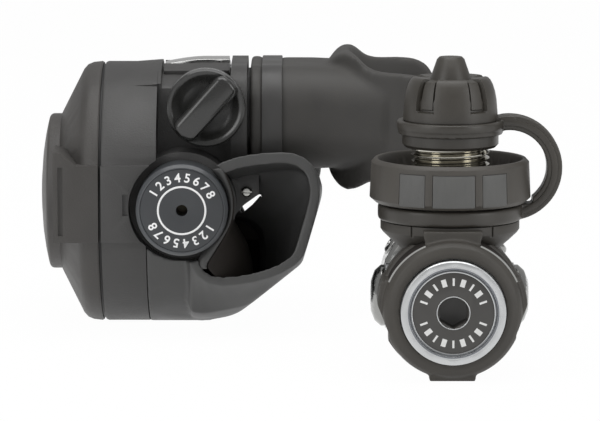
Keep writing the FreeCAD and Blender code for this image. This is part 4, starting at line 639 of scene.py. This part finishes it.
disc_profile = [(11.2, 28.5), (12.0, 29.5), (12.0, 33.0), (11.85, 33.7), (11.4, 34.05), (10.8, 34.0),
                (9.8, 33.3), (8.6, 32.3), (7.0, 31.6), (4.0, 31.2), (1.0, 31.1)]
disc = turned_piece(disc_profile, small_centre, "small_knob_disc", to_viewer, ring=False)
grip_outline = [(-10.3, -4.0), (10.3, -4.0), (11.2, -2.4), (11.6, 0.0), (11.2, 2.4), (10.3, 4.0),
                (-10.3, 4.0), (-11.2, 2.4), (-11.6, 0.0), (-11.2, -2.4)]
lean = math.radians(48.0)
grip = plate_piece([(x * math.cos(lean) - z * math.sin(lean), x * math.sin(lean) + z * math.cos(lean))
                    for x, z in grip_outline], -37.2, -30.5, "small_knob_grip", 1.7)
grip.location = small_centre
settle(grip)
small_knob = join_all([disc, grip], "small_knob")
mount(small_knob, "small_knob", knob_gloss, "airflow_control", "knob_black", "airflow_knob")


# Rings: one printed on the dial, and two dark rings in the first stage's plug, painted shade that draws its
# grooves

dial_plane = knob_centre + at(0, -45.9, 0)
ring = flat_ring(7.2, 0.6, 0.16, dial_plane, "dial_ring")
mount(ring, "dial_ring", print_white, "adjusting_knob", "dial_print")
# Painted shade: one dark ring on the plug's face, and one in the rim's groove
grooves = [flat_ring(12.85, 0.42, 0.08, stage_front + at(0, -0.09, 0), "groove"),
           flat_ring(12.22, 0.20, 0.20, stage_front + at(0, 0.40, 0), "groove")]
mount(join_all(grooves, "plug_groove_shade"), "plug_groove_shade", painted_groove_shade, "first_stage", "satin_chrome")


# Numbers 1 to 8, twice round the dial

numeral_plane = dial_plane + at(0, -0.06, 0)
numeral_r, numeral_height = 9.9, 3.8 * MM
numeral_starts, numeral_turn = (148, -32), 17.0     # degrees


def numeral(number, angle):
    bpy.ops.object.text_add(location=(0, 0, 0))
    text = bpy.context.object
    text.data.body = str(number)
    text.data.align_x = "CENTER"
    text.data.align_y = "CENTER"
    text.data.size = numeral_height
    text.data.offset = numeral_height * 0.02
    text.data.extrude = 0.04 * MM
    only(text)
    bpy.ops.object.convert(target="MESH")
    text = bpy.context.object
    text.matrix_world = place_on_circle(numeral_plane, numeral_r, angle)
    settle(text)
    text.name = "numeral"
    return text


numerals = [numeral(step + 1, math.radians(start - step * numeral_turn))
            for start in numeral_starts for step in range(8)]
mount(join_all(numerals, "dial_numerals"), "dial_numerals", print_white, "adjusting_knob", "dial_print")


# First stage's plug: ticks round its face, an edge at the hex socket, and a rim

plug_plane = stage_front + at(0, 0.7, 0)
tick_r, tick_widths = 9.0, (0.6, 1.4)
tick_starts, tick_turn = (160, -20), 17.5       # degrees


def tick(width, angle):
    """A small raised mark on the plug's face."""
    half, tall, thick = width / 2, 1.1, 0.05
    outline = [(-half, -tall), (half, -tall), (half, tall), (-half, tall)]
    piece = plate_piece(outline, -thick, thick, "tick", edge_mm=0.0)
    piece.matrix_world = place_on_circle(plug_plane, tick_r, angle) @ Matrix.Rotation(-math.pi / 2, 4, "X")
    settle(piece)
    return piece


ticks = [tick(tick_widths[step % 2], math.radians(start - step * tick_turn))
         for start in tick_starts for step in range(9)]
mount(join_all(ticks, "plug_ticks"), "plug_ticks", print_grey, "first_stage", "black_metal")
hex_edge = flat_ring(4.7, 0.3, 0.3, stage_front + at(0, 0.72, 0), "hex_edge")
mount(hex_edge, "hex_edge", finish["satin_chrome"], "first_stage", "satin_chrome")
rim_profile = [(11.75, 83.4), (11.75, 83.95), (12.02, 84.05), (12.12, 83.75), (12.32, 83.75),
               (12.42, 84.15), (12.62, 84.46), (13.35, 84.48), (13.45, 84.3), (13.45, 83.4)]
rim = turned_piece(rim_profile, stage_axis, "plug_rim", to_viewer)
mount(rim, "plug_rim", finish["satin_chrome"], "first_stage", "satin_chrome")


# Inlet coupling: its core is taken down to the thread's root, and one ridge is wound round it

thread_r, thread_depth, thread_pitch = 11.455 * MM, 1.1 * MM, 1.814 * MM
thread_start, thread_turns = 56.0 * MM, 12
root_sink = 0.3 * MM


def thread_ridge():
    bpy.ops.mesh.primitive_plane_add(size=1, location=(0, 0, 0))
    ridge = bpy.context.object
    root_r = thread_r - thread_depth - root_sink
    half_root, half_crest = thread_pitch * 0.48, thread_pitch * 0.10
    corners = [(root_r, -half_root), (thread_r, -half_crest), (thread_r, half_crest), (root_r, half_root)]
    for index, (radius, height) in zip((0, 1, 3, 2), corners):
        ridge.data.vertices[index].co = (radius, 0, height)
    screw = ridge.modifiers.new("wind", "SCREW")
    screw.axis = "Z"
    screw.angle = 2 * math.pi
    screw.screw_offset = thread_pitch
    screw.iterations = thread_turns
    screw.steps = 64
    screw.render_steps = 64
    screw.use_smooth_shade = True
    apply_modifiers(ridge)
    edit_all()
    bpy.ops.mesh.remove_doubles(threshold=0.000002)
    fill_open_edges(6)
    bpy.ops.mesh.select_all(action="SELECT")
    bpy.ops.mesh.normals_make_consistent(inside=False)
    bpy.ops.object.mode_set(mode="OBJECT")
    ridge.location = (inlet_centre.x, inlet_centre.y, thread_start)
    settle(ridge)
    ridge.name = "thread"
    return ridge


core = merged_copy("din_coupling", "coupling_core")
for vertex in core.data.vertices:
    offset = Vector((vertex.co.x - inlet_centre.x, vertex.co.y - inlet_centre.y))
    if offset.length > thread_r - 0.2 * MM:
        offset.length = thread_r - thread_depth
        vertex.co.x, vertex.co.y = inlet_centre.x + offset.x, inlet_centre.y + offset.y
break_edges(core, 0.15, 2, 30)
apply_modifiers(core)
smooth_up_to(core, 32)
coupling = join_all([core, thread_ridge()], "threaded_coupling")
mount(coupling, "threaded_coupling", thread_steel, "handwheel", "chrome", "din_coupling")


# Camera, at the photograph's viewing angle

view_distance, view_rise = 1.2, math.radians(8.0)
camera_data = bpy.data.cameras.new("photo_view")
camera = bpy.data.objects.new("photo_view", camera_data)
bpy.context.scene.collection.objects.link(camera)
camera_data.sensor_width = 36.0
camera_data.lens = 228.8
camera_data.clip_end = 10.0
camera.location = focus + Vector((0, -math.cos(view_rise), math.sin(view_rise))) * view_distance
camera.rotation_euler = (math.pi / 2 - view_rise, 0, 0)
bpy.context.scene.camera = camera


# Studio light

def soft_box(name, place, size, energy, aim):
    data = bpy.data.lights.new(name, "AREA")
    data.shape = "RECTANGLE"
    data.size, data.size_y = size
    data.energy = energy
    lamp = bpy.data.objects.new(name, data)
    lamp.location = place
    lamp.rotation_euler = (Vector(aim) - Vector(place)).to_track_quat("-Z", "Y").to_euler()
    bpy.context.scene.collection.objects.link(lamp)


soft_box("top_light", (0.0, -0.1, 0.9), (1.0, 0.8), 6.0, (0, 0, 0.03))
soft_box("left_light", (-0.8, -0.7, 0.45), (0.5, 0.8), 3.2, (0, 0, 0.04))
soft_box("right_light", (0.85, -0.6, 0.40), (0.4, 0.8), 2.8, (0, 0, 0.04))


# Pale floor and surroundings, both white to the camera

def seen_by(nodes, links, *kinds):
    """1 for rays of these kinds and 0 for all others."""
    path = nodes.new("ShaderNodeLightPath")
    value = path.outputs[kinds[0]]
    for kind in kinds[1:]:
        either = nodes.new("ShaderNodeMath")
        either.operation = "MAXIMUM"
        links.new(value, either.inputs[0])
        links.new(path.outputs[kind], either.inputs[1])
        value = either.outputs[0]
    return value


bpy.ops.mesh.primitive_plane_add(size=6, location=(0, 0, 0))
floor = bpy.context.object
floor.name = "floor"
floor_material, nodes, links, shader = new_material("pale floor")
shader.inputs["Base Color"].default_value = (0.94, 0.94, 0.94, 1)
shader.inputs["Roughness"].default_value = 0.7
glow = nodes.new("ShaderNodeEmission")
glow.inputs["Strength"].default_value = 1.0
white_share = nodes.new("ShaderNodeMath")
white_share.operation = "MULTIPLY"
white_share.inputs[1].default_value = 0.98      # the rest keeps the object's shadow
mix = nodes.new("ShaderNodeMixShader")
seen = seen_by(nodes, links, "Is Camera Ray", "Is Glossy Ray", "Is Transmission Ray")
links.new(seen, white_share.inputs[0])
links.new(white_share.outputs[0], mix.inputs["Fac"])
links.new(shader.outputs["BSDF"], mix.inputs[1])
links.new(glow.outputs["Emission"], mix.inputs[2])
links.new(mix.outputs["Shader"], nodes["Material Output"].inputs["Surface"])
floor.data.materials.append(floor_material)

world = bpy.data.worlds.new("studio")
bpy.context.scene.world = world
world.use_nodes = True
nodes, links = world.node_tree.nodes, world.node_tree.links
sky = nodes["Background"]
sky.inputs["Color"].default_value = (1, 1, 1, 1)
level = nodes.new("ShaderNodeMapRange")
level.inputs["To Min"].default_value = 0.42     # the light that the surroundings give the object
level.inputs["To Max"].default_value = 1.0
links.new(seen_by(nodes, links, "Is Camera Ray", "Is Transmission Ray"), level.inputs["Value"])
links.new(level.outputs["Result"], sky.inputs["Strength"])

bpy.context.scene.view_settings.view_transform = "Standard"
